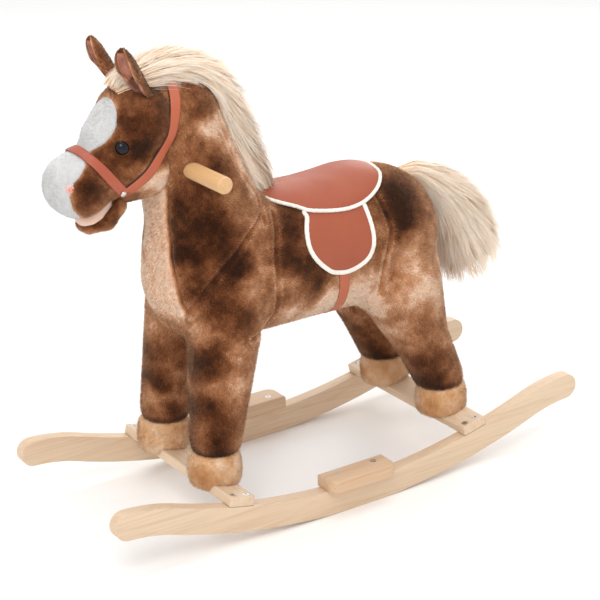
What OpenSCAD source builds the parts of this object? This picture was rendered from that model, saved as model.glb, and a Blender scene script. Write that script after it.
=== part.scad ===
// Plush rocking horse on wooden rockers.
// Millimetres. +Z is up, the horse faces -Y, its left side is +X.
// The origin is on the floor, midway between the rockers and midway along them.

/* [Rockers] */
// Length of a rocker between its round ends
rocker_length = 750; // [700:10:800]
// Width over the outer faces of the two rockers
rocker_span = 280; // [260:5:300]
// Thickness of a rocker board
rocker_t = 18; // [16:1:20]
// Depth of a rocker board
rocker_depth = 36; // [34:1:38]
// Radius of the running edge
rocker_r = 905; // [880:5:940]
// Length of the flat that the rocker rests on at its lowest point
rest_flat = 70; // [50:5:90]

/* [Cross boards and footrests] */
// Distance of each cross board from the middle, along the rockers
board_y = 192; // [185:1:200]
// Width of a cross board
board_w = 38; // [36:1:42]
// Thickness of a cross board
board_t = 14; // [12:1:16]
// Length of a footrest
footrest_l = 104; // [100:1:116]
// Width of a footrest
footrest_w = 38; // [36:1:42]
// Height of a footrest's top face above the floor
footrest_top = 56; // [54:1:60]

/* [Horse] */
// Radius of the round body
body_r = 92; // [90:1:93]
// Height of the body's axis
body_z = 330; // [328:1:332]
// Sideways distance of a hoof's centre from the middle
hoof_x = 67; // [65:1:70]
// Radius of a hoof
hoof_r = 36; // [34:1:38]
// Height of the seam between hoof and leg
seam_z = 110; // [104:1:116]
// Diameter of the handle dowel
handle_d = 22; // [20:1:24]
// Length of the handle dowel
handle_l = 272; // [240:4:300]

/* [Tack] */
// Width of the bridle straps
strap_w = 13; // [10:1:16]
// Width of the girth strap
girth_w = 18; // [14:1:24]
// Diameter of the piping round the saddle
piping_d = 5; // [4:0.5:6]

/* [Movement] */
// Closing angle of the mouth
jaw_close = 12; // [8:1:12]
// Swing of the tail to each side
tail_swing = 18; // [10:1:20]
// Travel of the button in the ear
ear_travel = 1.5; // [1:0.1:2]

/* [Hidden] */

gap = 0.3;          // clearance between separate soft pieces
bore_gap = 0.05;    // radial clearance of a running or pushed fit
fine = 96;
arc_steps = 10;     // steps of a quarter turn in a worked-out outline
seam_turn = 45;     // keeps a round shape's closing line away from the tips of its level cuts

pine = "burlywood";
plush = "saddlebrown";
white_plush = "whitesmoke";
fur = "wheat";
tack = "indianred";
steel = "silver";
plastic = "dimgray";

// Rocker outline: a main arc, then a reversed arc that levels out at each end
flat_sag = rocker_r - sqrt(pow(rocker_r, 2) - pow(rest_flat / 2, 2));
rocker_cz = rocker_r - flat_sag;
top_r = rocker_r - rocker_depth;
mid_r = rocker_r - rocker_depth / 2;
main_angle = 19;
tip_angle = 2;
tip_y = rocker_length / 2 - rocker_depth / 2;
tip_r = (tip_y - mid_r * sin(main_angle)) / (sin(main_angle) - sin(tip_angle));
rocker_x = rocker_span / 2 - rocker_t / 2;
board_angle = asin(board_y / top_r);
seat_cut = 0.5;
footrest_y = -7;
footrest_screw_y = [footrest_y - footrest_l / 2 + 22, footrest_y + footrest_l / 2 - 22];
footrest_in = rocker_x - rocker_t / 2 - 4;
corner_r = 14;
screw_r = 2.4;
screw_head_r = 4.4;
screw_l = 40;

// Frame of the horse: each point is [x, y, z] on the left side or on the middle plane
leg_front = [[hoof_x, -188, 71], [hoof_x - 1, -183, 125], [52, -152, 290]];
leg_rear = [[hoof_x, 188, 71], [hoof_x, 183, 118], [63, 152, 188], [54, 124, 268]];
post_r = 10;
post_top = 300;
post_front = [leg_front[0], [51, -150, post_top]];
post_rear = [leg_rear[0], [52, 133, post_top]];
spine_t = 18;
spine_top = post_top + spine_t;
spine_y = [post_front[1][1] - 16, post_rear[1][1] + 16];
spine_w = 2 * (post_front[1][0] + post_r + 2);
neck_post_low = [0, -142, spine_top];
neck_post_high = [0, -203, 536];
neck_post_size = [20, 56];
body_front = -138;
body_back = 115;
neck_low = [0, -144, 395];
neck_top = [0, -184, 552];
neck_low_r = 76;
neck_top_r = 56;
head_crown = [0, -239, 552];
head_nose = [0, -328, 480];
head_cheek = [0, -236, 498];
head_crown_r = 52;
head_nose_r = 39;
head_cheek_r = 46;
handle_pos = [0, -193, 491];

// Mouth: the jaw turns about a pin across the head
jaw_pivot = [0, -286, 452];
jaw_tip = [0, -317, 432];
jaw_pivot_r = 17;
jaw_tip_r = 11;
jaw_half_w = 25;
jaw_taper = asin((jaw_pivot_r - jaw_tip_r) / norm(jaw_tip - jaw_pivot));
palate_slope = 24;

// Tail: it turns about a shaft that leaves the rump square to its skin
tail_lift = 40;
tail_dir = [0, cos(tail_lift), sin(tail_lift)];
rump_c = [0, body_back, body_z];
tail_root = rump_c + (body_r + 14) * tail_dir;
tail_points = [tail_root, [0, 231, 372], [0, 277, 316], [0, 290, 258], [0, 297, 234]];
tail_radii = [12, 25, 42, 41, 24];
tail_shaft_r = 3;

// Eyes and nostrils, on the left side
eye_pos = [44.5, -282, 534];
eye_out = [0.96, -0.175, 0.215];
nostril_pos = [29, -350, 492];

// Electronics under the spine board
box_y = 76;
box_size = [64, 74, 46];
box_z = 250;
wall = 2;
switch_end = 12;    // solid end of the box that holds the switch
lid_l = box_size[1] - switch_end - 2 * wall - 4;
lid_pivot = [0, box_y - box_size[1] / 2 + 4.5, box_z + wall];
jaw_motor_pos = [0, -264, 508];
jaw_motor_size = [32, 28, 26];

// Mane and forelock: outlines as [y, z]; the headstall passes under the mane
mane_side = [[-228, 590], [-232, 630], [-190, 636], [-140, 624], [-106, 600], [-82, 556],
    [-66, 513], [-48, 462], [-38, 436], [-60, 424], [-120, 440], [-160, 540]];
mane_w = 46;
forelock_side = [[-234, 590], [-233.5, 624], [-258, 620], [-282, 602], [-288, 582], [-262, 570]];
forelock_w = 24;
strap_room = 2.6;

// Ear: a pointed leaf that leans forward and outward
ear_base = [33, -242, 594];
ear_lean = [26, 6.5, 0];
ear_facing = 15;
ear_w = 40;
ear_h = 74;
ear_t = 15;

// Saddle: every part follows the round back
saddle_y = [-66, 110];
seat_half_w = 66;
seat_swell = 8;
pad_r = body_r + gap;
flap_t = 4;
seat_t = 9;
flap_c = [9, 363];
flap_r = 46;
flap_top_z = 408;
girth_y = 10;

// Bridle: the rivet and the noseband as [y, z], the headstall's middle line from the left rivet over the poll
rivet_pos = [-283, 475];
noseband_path = [rivet_pos, [-328, 548]];
headstall_line = [[43, -283, 475], [46, -268, 484], [48.5, -250, 498], [50, -234, 516], [50.5, -221, 538],
    [49.5, -210, 562], [43, -202, 584], [28, -198, 600], [0, -196, 607]];
headstall_middle = [0, -225, 530];

function rim(a0, a1, r, cy, cz, n) =
    [for (i = [0 : n]) let (a = a0 + (a1 - a0) * i / n) [cy + r * cos(a), cz + r * sin(a)]];

// ---------- shared shapes ----------

module at_frame(p, q) {
    d = q - p;
    translate(p) rotate([0, acos(d[2] / norm(d)), atan2(d[1], d[0])]) children();
}

// Solid of revolution with a ball at each end, from ball r0 at p0 to ball r1 at p1
module limb(p0, r0, p1, r1) {
    d = norm(p1 - p0);
    t = asin((r0 - r1) / d);
    at_frame(p0, p1) rotate(seam_turn) rotate_extrude($fn = fine)
        polygon(concat(rim(-90, t, r0, 0, 0, arc_steps), rim(t, 90, r1, 0, d, arc_steps)));
}

module bar(p, q, r) {
    at_frame(p, q) rotate(seam_turn) cylinder(r = r, h = norm(q - p), $fn = fine);
}

module both_sides() {
    children();
    mirror([1, 0, 0]) children();
}

// Extrudes an outline drawn in (y, z) along x, centred on the middle plane
module across(width) {
    translate([-width / 2, 0, 0]) rotate([90, 0, 90]) linear_extrude(width) children();
}

// Places children on the underside plane of a cross board: side is -1 at the front, 1 at the rear
module on_board_seat(side) {
    r = top_r + seat_cut;
    translate([0, side * r * sin(board_angle), rocker_cz - r * cos(board_angle)])
        rotate([side * board_angle, 0, 0]) children();
}

// ---------- wooden base ----------

// Half of the outline, from the middle of the running edge round the end to the middle of the top
function rocker_half() = let (
        c2 = [(mid_r + tip_r) * sin(main_angle), rocker_cz - (mid_r + tip_r) * cos(main_angle)],
        end = c2 + tip_r * [-sin(tip_angle), cos(tip_angle)],
        half = rocker_depth / 2) concat(
    rim(-90, main_angle - 90, rocker_r, 0, rocker_cz, 24),
    rim(90 + main_angle, 90 + tip_angle, tip_r - half, c2[0], c2[1], arc_steps),
    rim(tip_angle - 90, tip_angle + 90, half, end[0], end[1], 2 * arc_steps),
    rim(90 + tip_angle, 90 + main_angle, tip_r + half, c2[0], c2[1], arc_steps),
    rim(main_angle - 90, -90, top_r, 0, rocker_cz, 24));

module rocker_outline() {
    half = rocker_half();
    difference() {
        polygon(concat(half, [for (i = [len(half) - 2 : -1 : 1]) [-half[i][0], half[i][1]]]));
        translate([-rocker_length, -rocker_depth]) square([2 * rocker_length, rocker_depth]);
    }
}

module screw_spots() {
    for (x = [-rocker_x, rocker_x], y = [-board_w / 4, board_w / 4]) translate([x, y, 0]) children();
}

module rocker(side) {
    color(pine) difference() {
        translate([side * rocker_x, 0, 0]) across(rocker_t) rocker_outline();
        for (s = [-1, 1]) on_board_seat(s) {
            translate([-rocker_span, -board_w / 2, 0]) cube([2 * rocker_span, board_w, board_t]);
            screw_spots() translate([0, 0, -28]) cylinder(r = screw_r + bore_gap, h = 30, $fn = 32);
        }
        for (y = footrest_screw_y) translate([side * rocker_x, y, 14])
            cylinder(r = screw_r + bore_gap, h = 40, $fn = 32);
    }
}

module rocker_left() { rocker(1); }
module rocker_right() { rocker(-1); }

module cross_board(side) {
    color(pine) on_board_seat(side) difference() {
        translate([-rocker_span / 2, -board_w / 2, 0]) cube([rocker_span, board_w, board_t]);
        screw_spots() {
            translate([0, 0, -1]) cylinder(r = screw_r + bore_gap, h = board_t, $fn = 32);
            translate([0, 0, board_t - 3]) cylinder(r = screw_head_r + 0.2, h = 4, $fn = 48);
        }
        both_sides() translate([post_front[0][0], 0, -1]) cylinder(r = 2 + bore_gap, h = board_t + 2, $fn = 32);
    }
}

module front_cross_board() { cross_board(-1); }
module rear_cross_board() { cross_board(1); }

module footrest(side) {
    x1 = footrest_in + footrest_w;
    y0 = footrest_y - footrest_l / 2;
    y1 = footrest_y + footrest_l / 2;
    color(pine) mirror([side < 0 ? 1 : 0, 0, 0]) difference() {
        translate([0, 0, rocker_depth - 4]) linear_extrude(footrest_top - rocker_depth + 4) {
            translate([footrest_in, y0]) square([footrest_w - corner_r, footrest_l]);
            translate([footrest_in, y0 + corner_r]) square([footrest_w, footrest_l - 2 * corner_r]);
            for (y = [y0 + corner_r, y1 - corner_r]) translate([x1 - corner_r, y]) circle(r = corner_r, $fn = 64);
        }
        across(2 * rocker_span) rocker_outline();
        for (y = footrest_screw_y) translate([rocker_x, y, 0]) {
            cylinder(r = screw_r + bore_gap, h = 80, $fn = 32);
            translate([0, 0, footrest_top - 3]) cylinder(r = screw_head_r + 0.2, h = 4, $fn = 48);
        }
    }
}

module footrest_left() { footrest(1); }
module footrest_right() { footrest(-1); }

// Wood screw with its head's top at z = 0 and a cross recess in the head
module wood_screw() {
    difference() {
        union() {
            translate([0, 0, -3]) cylinder(r = screw_head_r, h = 3, $fn = 48);
            translate([0, 0, -screw_l]) cylinder(r = screw_r, h = screw_l - 2, $fn = 32);
        }
        for (a = [0, 90]) rotate(a) translate([-2.4, -0.5, -1.5]) cube([4.8, 1, 2]);
    }
}

module cross_board_screws() {
    color(steel) for (s = [-1, 1]) on_board_seat(s)
        screw_spots() translate([0, 0, board_t]) wood_screw();
}

module footrest_screws() {
    color(steel) for (x = [-rocker_x, rocker_x], y = footrest_screw_y)
        translate([x, y, footrest_top]) wood_screw();
}

// ---------- inner frame ----------

module post_shape(post, r, low, high) {
    d = (post[1] - post[0]) / norm(post[1] - post[0]);
    bar(post[0] - low * d, post[1] + high * d, r);
}

module leg_post(post, side) {
    color(pine) difference() {
        post_shape(post, post_r, 12, 12);
        translate([-200, -300, post_top]) cube([400, 600, 60]);
        on_board_seat(side) {
            translate([-200, -60, -60]) cube([400, 120, 60 + board_t]);
            translate([post[0][0], 0, -1]) cylinder(r = 2 + bore_gap, h = board_t + 27, $fn = 32);
        }
        translate([post[1][0], post[1][1], post_top - 26]) cylinder(r = 2 + bore_gap, h = 30, $fn = 32);
    }
}

module leg_post_front_left() { leg_post(post_front, -1); }
module leg_post_front_right() { mirror([1, 0, 0]) leg_post(post_front, -1); }
module leg_post_rear_left() { leg_post(post_rear, 1); }
module leg_post_rear_right() { mirror([1, 0, 0]) leg_post(post_rear, 1); }

module spine_board() {
    color(pine) difference() {
        translate([-spine_w / 2, spine_y[0], post_top]) cube([spine_w, spine_y[1] - spine_y[0], spine_t]);
        both_sides() for (p = [post_front[1], post_rear[1]]) translate([p[0], p[1], post_top - 1]) {
            cylinder(r = 2 + bore_gap, h = spine_t + 2, $fn = 32);
            translate([0, 0, spine_t - 2]) cylinder(r = 4.1, h = 4, $fn = 32);
        }
    }
}

module neck_post_shape(extra) {
    lean = atan2(neck_post_low[1] - neck_post_high[1], neck_post_high[2] - neck_post_low[2]);
    w = neck_post_size[0] + 2 * extra;
    d = neck_post_size[1] + 2 * extra;
    difference() {
        translate(neck_post_low) rotate([lean, 0, 0]) translate([-w / 2, -d / 2, -30])
            cube([w, d, 30 + norm(neck_post_high - neck_post_low) + extra]);
        translate([-100, -400, 0]) cube([200, 800, spine_top]);
    }
}

module neck_post() {
    color(pine) difference() {
        neck_post_shape(0);
        translate(handle_pos) rotate([0, 90, 0])
            cylinder(r = handle_d / 2 + bore_gap, h = 60, center = true, $fn = fine);
    }
}

module handle_dowel() {
    edge = 2;
    color(pine) translate(handle_pos) rotate([0, 90, 0]) {
        cylinder(r = handle_d / 2, h = handle_l - 2 * edge, center = true, $fn = fine);
        for (s = [-1, 1]) translate([0, 0, s * (handle_l - edge) / 2])
            cylinder(r1 = handle_d / 2 - (s < 0 ? edge : 0), r2 = handle_d / 2 - (s > 0 ? edge : 0),
                h = edge, center = true, $fn = fine);
    }
}

// Screws up through the boards into the posts, and down through the spine board into them
module frame_screws() {
    color(steel) both_sides() {
        for (s = [-1, 1]) on_board_seat(s) translate([post_front[0][0], 0, 0]) {
            cylinder(r = 2, h = board_t + 24, $fn = 32);
            translate([0, 0, -2]) cylinder(r = 4, h = 2, $fn = 32);
        }
        for (p = [post_front[1], post_rear[1]]) translate([p[0], p[1], post_top - 24]) {
            cylinder(r = 2, h = 24 + spine_t - 2, $fn = 32);
            translate([0, 0, 24 + spine_t - 2]) cylinder(r = 4, h = 2, $fn = 32);
        }
    }
}

// ---------- stuffed pieces ----------

module body_shape(r) {
    limb([0, body_front, body_z], r, [0, body_back, body_z], r - 0.01);
}

module neck_shape(extra) {
    limb(neck_low, neck_low_r + extra, neck_top, neck_top_r + extra);
}

module head_shape(extra) {
    limb(head_crown, head_crown_r + extra, head_nose, head_nose_r + extra);
    limb(head_cheek, head_cheek_r + extra, head_nose + [0, 5, -2], head_nose_r - 1 + extra);
}

module body_plush() {
    color(plush) difference() {
        body_shape(body_r);
        translate([-spine_w / 2 - 1, spine_y[0] - 1, post_top - 1])
            cube([spine_w + 2, spine_y[1] - spine_y[0] + 2, spine_t + 3]);
        both_sides() {
            post_shape(post_front, post_r + gap, 0, 8);
            post_shape(post_rear, post_r + gap, 0, 8);
        }
        neck_post_shape(gap);
        translate([-box_size[0] / 2 - 1, box_y - box_size[1] / 2 - 1, 200])
            cube([box_size[0] + 2, box_size[1] + 2, post_top - 200]);
        tail_motor_place() translate([-15, -17, -33]) cube([30, 34, 34]);
        bar(rump_c + 40 * tail_dir, rump_c + 140 * tail_dir, 5);
        speaker_place() cylinder(r = 27, h = 20, $fn = fine);
    }
}

module handle_hole() {
    translate(handle_pos) rotate([0, 90, 0]) cylinder(r = handle_d / 2 + gap, h = 300, center = true, $fn = fine);
}

module neck_plush() {
    color(plush) difference() {
        neck_shape(0);
        body_shape(body_r + gap);
        head_shape(gap);
        neck_post_shape(gap);
        handle_hole();
    }
}

// Everything below the palate, and the room in which the jaw's hinge end turns
module mouth_space(back) {
    r = jaw_pivot_r + 0.8;
    translate(jaw_pivot) {
        rotate([palate_slope, 0, 0]) translate([-100, -120, r - 120]) cube([200, 120 + back, 120]);
        rotate([0, 90, 0]) cylinder(r = r, h = 2 * jaw_half_w + 2, center = true, $fn = fine);
    }
}

// Plane across the head that parts the brown head from the white muzzle
module muzzle_side() {
    d = (head_nose - head_crown) / norm(head_nose - head_crown);
    at_frame(head_crown + 74 * d, head_nose) translate([-100, -100, 0]) cube([200, 200, 120]);
}

module head_plush() {
    color(plush) difference() {
        head_shape(0);
        muzzle_side();
        mouth_space(0);
        neck_post_shape(gap);
        handle_hole();
        translate(jaw_motor_pos) cube(jaw_motor_size + [2, 2, 2], center = true);
        bar(jaw_pivot - [45, 0, 0], jaw_pivot + [45, 0, 0], 2 + bore_gap);
        both_sides() {
            eye_place() cylinder(r = 4.5, h = 60, center = true, $fn = 32);
            ear_place() ear_shape(gap);
        }
    }
}

module muzzle_plush() {
    color(white_plush) difference() {
        intersection() {
            head_shape(0);
            muzzle_side();
        }
        mouth_space(80);
        both_sides() nostril_place() cylinder(r = 2.2, h = 20, center = true, $fn = 32);
    }
}

module jaw_side(inset) {
    p = [jaw_pivot[1], jaw_pivot[2]];
    q = [jaw_tip[1], jaw_tip[2]];
    d = norm(q - p);
    t = jaw_taper;
    translate(p) rotate(atan2(q[1] - p[1], q[0] - p[0])) polygon(concat(
        [for (i = [0 : 24]) let (a = 90 - t + (180 + 2 * t) * i / 24) (jaw_pivot_r - inset) * [cos(a), sin(a)]],
        [for (i = [0 : 16]) let (a = -90 - t + (180 + 2 * t) * i / 16)
            [d, 0] + (jaw_tip_r - inset) * [cos(a), sin(a)]]));
}

module jaw_plush() {
    color(plush) difference() {
        intersection() {
            across(2 * jaw_half_w) jaw_side(0);
            translate([0, -286, 380]) cylinder(r = 46, h = 140, $fn = fine);
        }
        jaw_lining_block(0.05);
        bar(jaw_pivot - [45, 0, 0], jaw_pivot + [45, 0, 0], 2 + bore_gap);
    }
}

// Pale cloth let into the upper face of the jaw
module jaw_lining_block(extra) {
    translate(jaw_pivot) rotate([atan2(jaw_pivot[2] - jaw_tip[2], jaw_pivot[1] - jaw_tip[1]) + jaw_taper, 0, 0])
        translate([-19 - extra, -56, jaw_pivot_r - 3 - extra]) cube([38 + 2 * extra, 46, 20]);
}

module jaw_lining() {
    color("mistyrose") intersection() {
        across(2 * jaw_half_w) jaw_side(0);
        translate([0, -286, 380]) cylinder(r = 46, h = 140, $fn = fine);
        jaw_lining_block(0);
    }
}

module cut_above_seam() {
    translate([-200, -300, seam_z]) cube([400, 600, 400]);
}

module leg_front() {
    color(plush) difference() {
        intersection() {
            limb(leg_front[1], 33, leg_front[2], 50);
            cut_above_seam();
        }
        body_shape(body_r + gap);
        post_shape(post_front, post_r + gap, 20, 60);
    }
}

module leg_rear() {
    color(plush) difference() {
        intersection() {
            union() {
                limb(leg_rear[1], 33, leg_rear[2], 38);
                limb(leg_rear[2], 38.5, leg_rear[3], 58);
            }
            cut_above_seam();
        }
        body_shape(body_r + gap);
        post_shape(post_rear, post_r + gap, 20, 60);
        translate([-100, 0, 0]) cube([104, 400, 400]);
        lid_room();
    }
}

// Space between the hind legs in which the battery lid swings down
module lid_room() {
    w = box_size[0];
    reach = lid_l + 4;
    translate([-w / 2, lid_pivot[1] - reach / 2, lid_pivot[2] - reach]) cube([w, 1.5 * reach, reach + 6]);
}

module leg_front_left() { leg_front(); }
module leg_front_right() { mirror([1, 0, 0]) leg_front(); }
module leg_rear_left() { leg_rear(); }
module leg_rear_right() { mirror([1, 0, 0]) leg_rear(); }

// Hoof: a full, soft cuff that stands on the cross board
module hoof(side) {
    post = side < 0 ? post_front : post_rear;
    c = [hoof_x, side * 187];
    h = seam_z - 58;
    profile = [for (i = [0 : 12]) let (k = i / 12) [hoof_r - 4 + 4 * sin(180 * k), h * k]];
    color("navajowhite") difference() {
        translate([c[0], c[1], 58]) rotate_extrude($fn = fine)
            polygon(concat([[0, 0]], profile, [[0, h]]));
        on_board_seat(side) translate([-200, -60, -60]) cube([400, 120, 60 + board_t]);
        post_shape(post, post_r + gap, 20, 0);
    }
}

module hoof_front_left() { hoof(-1); }
module hoof_front_right() { mirror([1, 0, 0]) hoof(-1); }
module hoof_rear_left() { hoof(1); }
module hoof_rear_right() { mirror([1, 0, 0]) hoof(1); }

// ---------- ears, eyes, nostrils ----------

module ear_place() {
    translate(ear_base) rotate(ear_lean) rotate(ear_facing) children();
}

module leaf(w, h) {
    r = (pow(w / 2, 2) + pow(h / 2, 2)) / w;
    intersection() {
        translate([w / 2 - r, 0]) circle(r = r, $fn = fine);
        translate([r - w / 2, 0]) circle(r = r, $fn = fine);
    }
}

// The leaf stands in x-z, its face looks along -y
module ear_shape(extra) {
    translate([0, ear_t / 2 + extra, ear_h / 2 - 14]) rotate([90, 0, 0])
        linear_extrude(ear_t + 2 * extra) leaf(ear_w + 2 * extra, ear_h + 2 * extra);
}

module ear_pocket(r, depth) {
    translate([0, -ear_t / 2, 20]) rotate([-90, 0, 0]) cylinder(r = r, h = depth, $fn = 48);
}

module ear(with_button) {
    color(plush) ear_place() difference() {
        ear_shape(0);
        translate([0, 0, -22]) cube([80, 40, 44], center = true);
        if (with_button) {
            ear_pocket(8.2, 8);
        }
    }
}

module ear_lining() {
    color("rosybrown") ear_place() difference() {
        translate([0, -ear_t / 2 - gap / 3, ear_h / 2 - 12]) rotate([90, 0, 0])
            linear_extrude(1.2) leaf(ear_w - 12, ear_h - 18);
        translate([0, 0, -20]) cube([80, 60, 44], center = true);
    }
}

module ear_left() { ear(true); }
module ear_right() { mirror([1, 0, 0]) ear(false); }
module ear_lining_left() { ear_lining(); }
module ear_lining_right() { mirror([1, 0, 0]) ear_lining(); }

// Push button in the left ear, under the lining
module ear_button() {
    color(plastic) ear_place() translate([0, -ear_t / 2 + 0.1, 20]) rotate([-90, 0, 0])
        cylinder(r = 7.8, h = 5, $fn = 48);
}

module eye_place() {
    at_frame(eye_pos, eye_pos + eye_out) children();
}

module eye() {
    color("midnightblue") eye_place() {
        rotate_extrude($fn = 48) polygon(concat([[0, 2.4]], rim(0, 90, 8.5, 0, 2.4, 8)));
        translate([0, 0, -9]) cylinder(r = 2.5, h = 11.6, $fn = 32);
        translate([0, 0, -9]) cylinder(r = 4.3, h = 2, $fn = 32);
    }
}

module eye_left() { eye(); }
module eye_right() { mirror([1, 0, 0]) eye(); }

module nostril_place() {
    at_frame(nostril_pos, 2 * nostril_pos - head_nose) children();
}

module nostril_buttons() {
    color("pink") both_sides() nostril_place() {
        translate([0, 0, 1]) cylinder(r = 5.5, h = 2.5, $fn = 48);
        translate([0, 0, -6]) cylinder(r = 2, h = 8, $fn = 32);
    }
}

// ---------- mane, forelock, tail ----------

module mane() {
    color(fur) difference() {
        across(mane_w) polygon(mane_side);
        neck_shape(strap_room);
        head_shape(strap_room);
        body_shape(body_r + 0.5);
        translate([-150, saddle_y[0] - 2, body_z]) cube([300, 200, pad_r + seat_t + 1]);
    }
}

module forelock() {
    color(fur) difference() {
        across(forelock_w) polygon(forelock_side);
        head_shape(0.5);
    }
}

module tail() {
    color(fur) difference() {
        for (i = [0 : 3]) limb(tail_points[i], tail_radii[i] + 0.1 * i, tail_points[i + 1], tail_radii[i + 1]);
        bar(tail_root - 30 * tail_dir, tail_root + 22 * tail_dir, tail_shaft_r + bore_gap);
    }
}

// ---------- saddle and bridle ----------

module back_shell(r0, r1) {
    rotate([90, 0, 0]) translate([0, body_z, -180]) linear_extrude(360) difference() {
        circle(r = r1, $fn = 180);
        circle(r = r0, $fn = 180);
    }
}

module seat_plan() {
    l = saddle_y[1] - saddle_y[0];
    translate([0, (saddle_y[0] + saddle_y[1]) / 2]) polygon([for (i = [0 : 47]) let (a = i * 7.5)
        [(seat_half_w + seat_swell * sin(a)) * sign(cos(a)) * pow(abs(cos(a)), 0.8),
            l / 2 * sign(sin(a)) * pow(abs(sin(a)), 0.8)]]);
}

// A flap is round below and narrows towards the front of its top
module flap_side(grow) {
    r = flap_r + grow;
    translate(flap_c) circle(r = r, $fn = fine);
    polygon([flap_c - [r, 0], flap_c + [r, 0], [flap_c[0] + r, flap_top_z + grow],
        [flap_c[0] - 0.6 * r, flap_top_z + grow]]);
}

module saddle_seat() {
    color(tack) difference() {
        intersection() {
            back_shell(pad_r, pad_r + seat_t);
            translate([0, 0, body_z + 45]) linear_extrude(100) seat_plan();
        }
        intersection() {
            back_shell(pad_r - 5, pad_r + flap_t + gap);
            across(300) flap_side(gap);
        }
    }
}

module saddle_flap() {
    color(tack) intersection() {
        back_shell(pad_r, pad_r + flap_t);
        translate([150, 0, 0]) across(300) flap_side(0);
        translate([30, -200, 0]) cube([200, 400, 600]);
    }
}

module saddle_flap_left() { saddle_flap(); }
module saddle_flap_right() { mirror([1, 0, 0]) saddle_flap(); }

// Cord sewn round each flap, as a tube along the flap's round lower edge
module saddle_piping() {
    r = pad_r + piping_d / 2;
    round = flap_r + piping_d / 2 + gap;
    n = 40;
    sides = 8;
    function spot(k) = let (a = -180 + 180 * k, y = flap_c[0] + round * cos(a), z = flap_c[1] + round * sin(a),
        h = min(1, max(-1, (z - body_z) / r)))
        [r * sqrt(1 - h * h), y, z];
    function ring(k) = let (c = spot(k), n1 = [c[0], 0, c[2] - body_z] / norm([c[0], 0, c[2] - body_z]),
        t = (spot(k + 0.01) - spot(k - 0.01)), n2 = cross(t / norm(t), n1))
        [for (j = [0 : sides - 1]) let (a = 360 * j / sides) c + piping_d / 2 * (cos(a) * n1 + sin(a) * n2)];
    points = [for (i = [0 : n]) each ring(i / n)];
    walls = [for (i = [0 : n - 1], j = [0 : sides - 1]) let (k = (j + 1) % sides)
        [i * sides + j, i * sides + k, (i + 1) * sides + k, (i + 1) * sides + j]];
    low = [for (j = [0 : sides - 1]) sides - 1 - j];
    high = [for (j = [0 : sides - 1]) n * sides + j];
    color("white") both_sides() polyhedron(points, concat(walls, [low, high]));
}

module girth_strap() {
    color(tack) intersection() {
        back_shell(pad_r, pad_r + 2);
        translate([-200, girth_y - girth_w / 2, 0]) cube([400, girth_w, flap_c[1] - flap_r - piping_d - 2]);
    }
}

// Flat strap that follows points given as [y, z], seen from the side
module strap_path(points) {
    for (i = [0 : len(points) - 2]) let (p = points[i], q = points[i + 1]) {
        translate(p) rotate(atan2(q[1] - p[1], q[0] - p[0]))
            translate([0, -strap_w / 2]) square([norm(q - p), strap_w]);
        translate(p) circle(r = strap_w / 2, $fn = 48);
    }
}

module noseband() {
    color(tack) intersection() {
        difference() {
            limb(head_crown, head_crown_r + 2.3, head_nose, head_nose_r + 2.3);
            head_shape(gap);
        }
        across(300) difference() {
            strap_path(noseband_path);
            translate(rivet_pos) circle(r = strap_w / 2 + gap, $fn = 48);
        }
    }
}

// Flat strip, 2 mm thick, that lies round a middle point along the given line
module ribbon(line, middle, width) {
    last = len(line) - 1;
    t = 2;
    function out(i) = let (v = line[i] - middle) v / norm(v);
    function along(i) = let (v = line[min(last, i + 1)] - line[max(0, i - 1)]) v / norm(v);
    function ring(i) = let (n = out(i), w = cross(along(i), n) / norm(cross(along(i), n)))
        [for (c = [[0, -1], [t, -1], [t, 1], [0, 1]]) line[i] + c[0] * n + c[1] * width / 2 * w];
    walls = [for (i = [0 : last - 1], j = [0 : 3]) let (k = (j + 1) % 4)
        [4 * i + j, 4 * i + k, 4 * i + 4 + k, 4 * i + 4 + j]];
    polyhedron([for (i = [0 : last]) each ring(i)],
        concat(walls, [[3, 2, 1, 0], [4 * last, 4 * last + 1, 4 * last + 2, 4 * last + 3]]));
}

module headstall() {
    right = [for (i = [len(headstall_line) - 2 : -1 : 0]) [-headstall_line[i][0], headstall_line[i][1],
        headstall_line[i][2]]];
    color(tack) ribbon(concat(headstall_line, right), headstall_middle, strap_w);
}

module bridle_rivets() {
    color(steel) both_sides() translate([46, rivet_pos[0], rivet_pos[1]]) rotate([0, 100, -8])
        cylinder(r = 4, h = 2.5, $fn = 48);
}

// ---------- electronics ----------

module sound_box() {
    w = box_size[0];
    l = box_size[1];
    h = box_size[2];
    color(plastic) translate([0, box_y, box_z]) difference() {
        translate([-w / 2, -l / 2, 0]) cube([w, l, h]);
        translate([-w / 2 + wall, -l / 2 + wall, -1]) cube([w - 2 * wall, l - switch_end - 2 * wall, h - wall]);
        translate([-5, l / 2 - 9, -1]) cube([10, 5, 3]);
    }
}

module battery_lid() {
    w = box_size[0] - 2 * wall - 1;
    color(plastic) {
        translate([-w / 2, lid_pivot[1], box_z]) cube([w, lid_l, wall]);
        translate([-w / 2, lid_pivot[1], lid_pivot[2]]) rotate([0, 90, 0]) cylinder(r = wall, h = w, $fn = 48);
    }
}

module batteries() {
    color("goldenrod") for (i = [-1 : 1]) translate([i * 16, box_y - 33, box_z + 20])
        rotate([-90, 0, 0]) cylinder(r = 7.2, h = 50, $fn = 48);
}

module speaker_place() {
    translate([0, -70, 262]) children();
}

module speaker() {
    color(plastic) speaker_place() {
        cylinder(r = 25, h = 6, $fn = fine);
        translate([0, 0, 6]) cylinder(r = 12, h = 10, $fn = fine);
    }
}

module power_switch() {
    color("black") translate([-3.5, box_y + box_size[1] / 2 - 8.6, box_z - 1.5]) cube([4, 4.2, 3]);
}

module jaw_motor() {
    color(plastic) translate(jaw_motor_pos) cube(jaw_motor_size, center = true);
}

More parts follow.
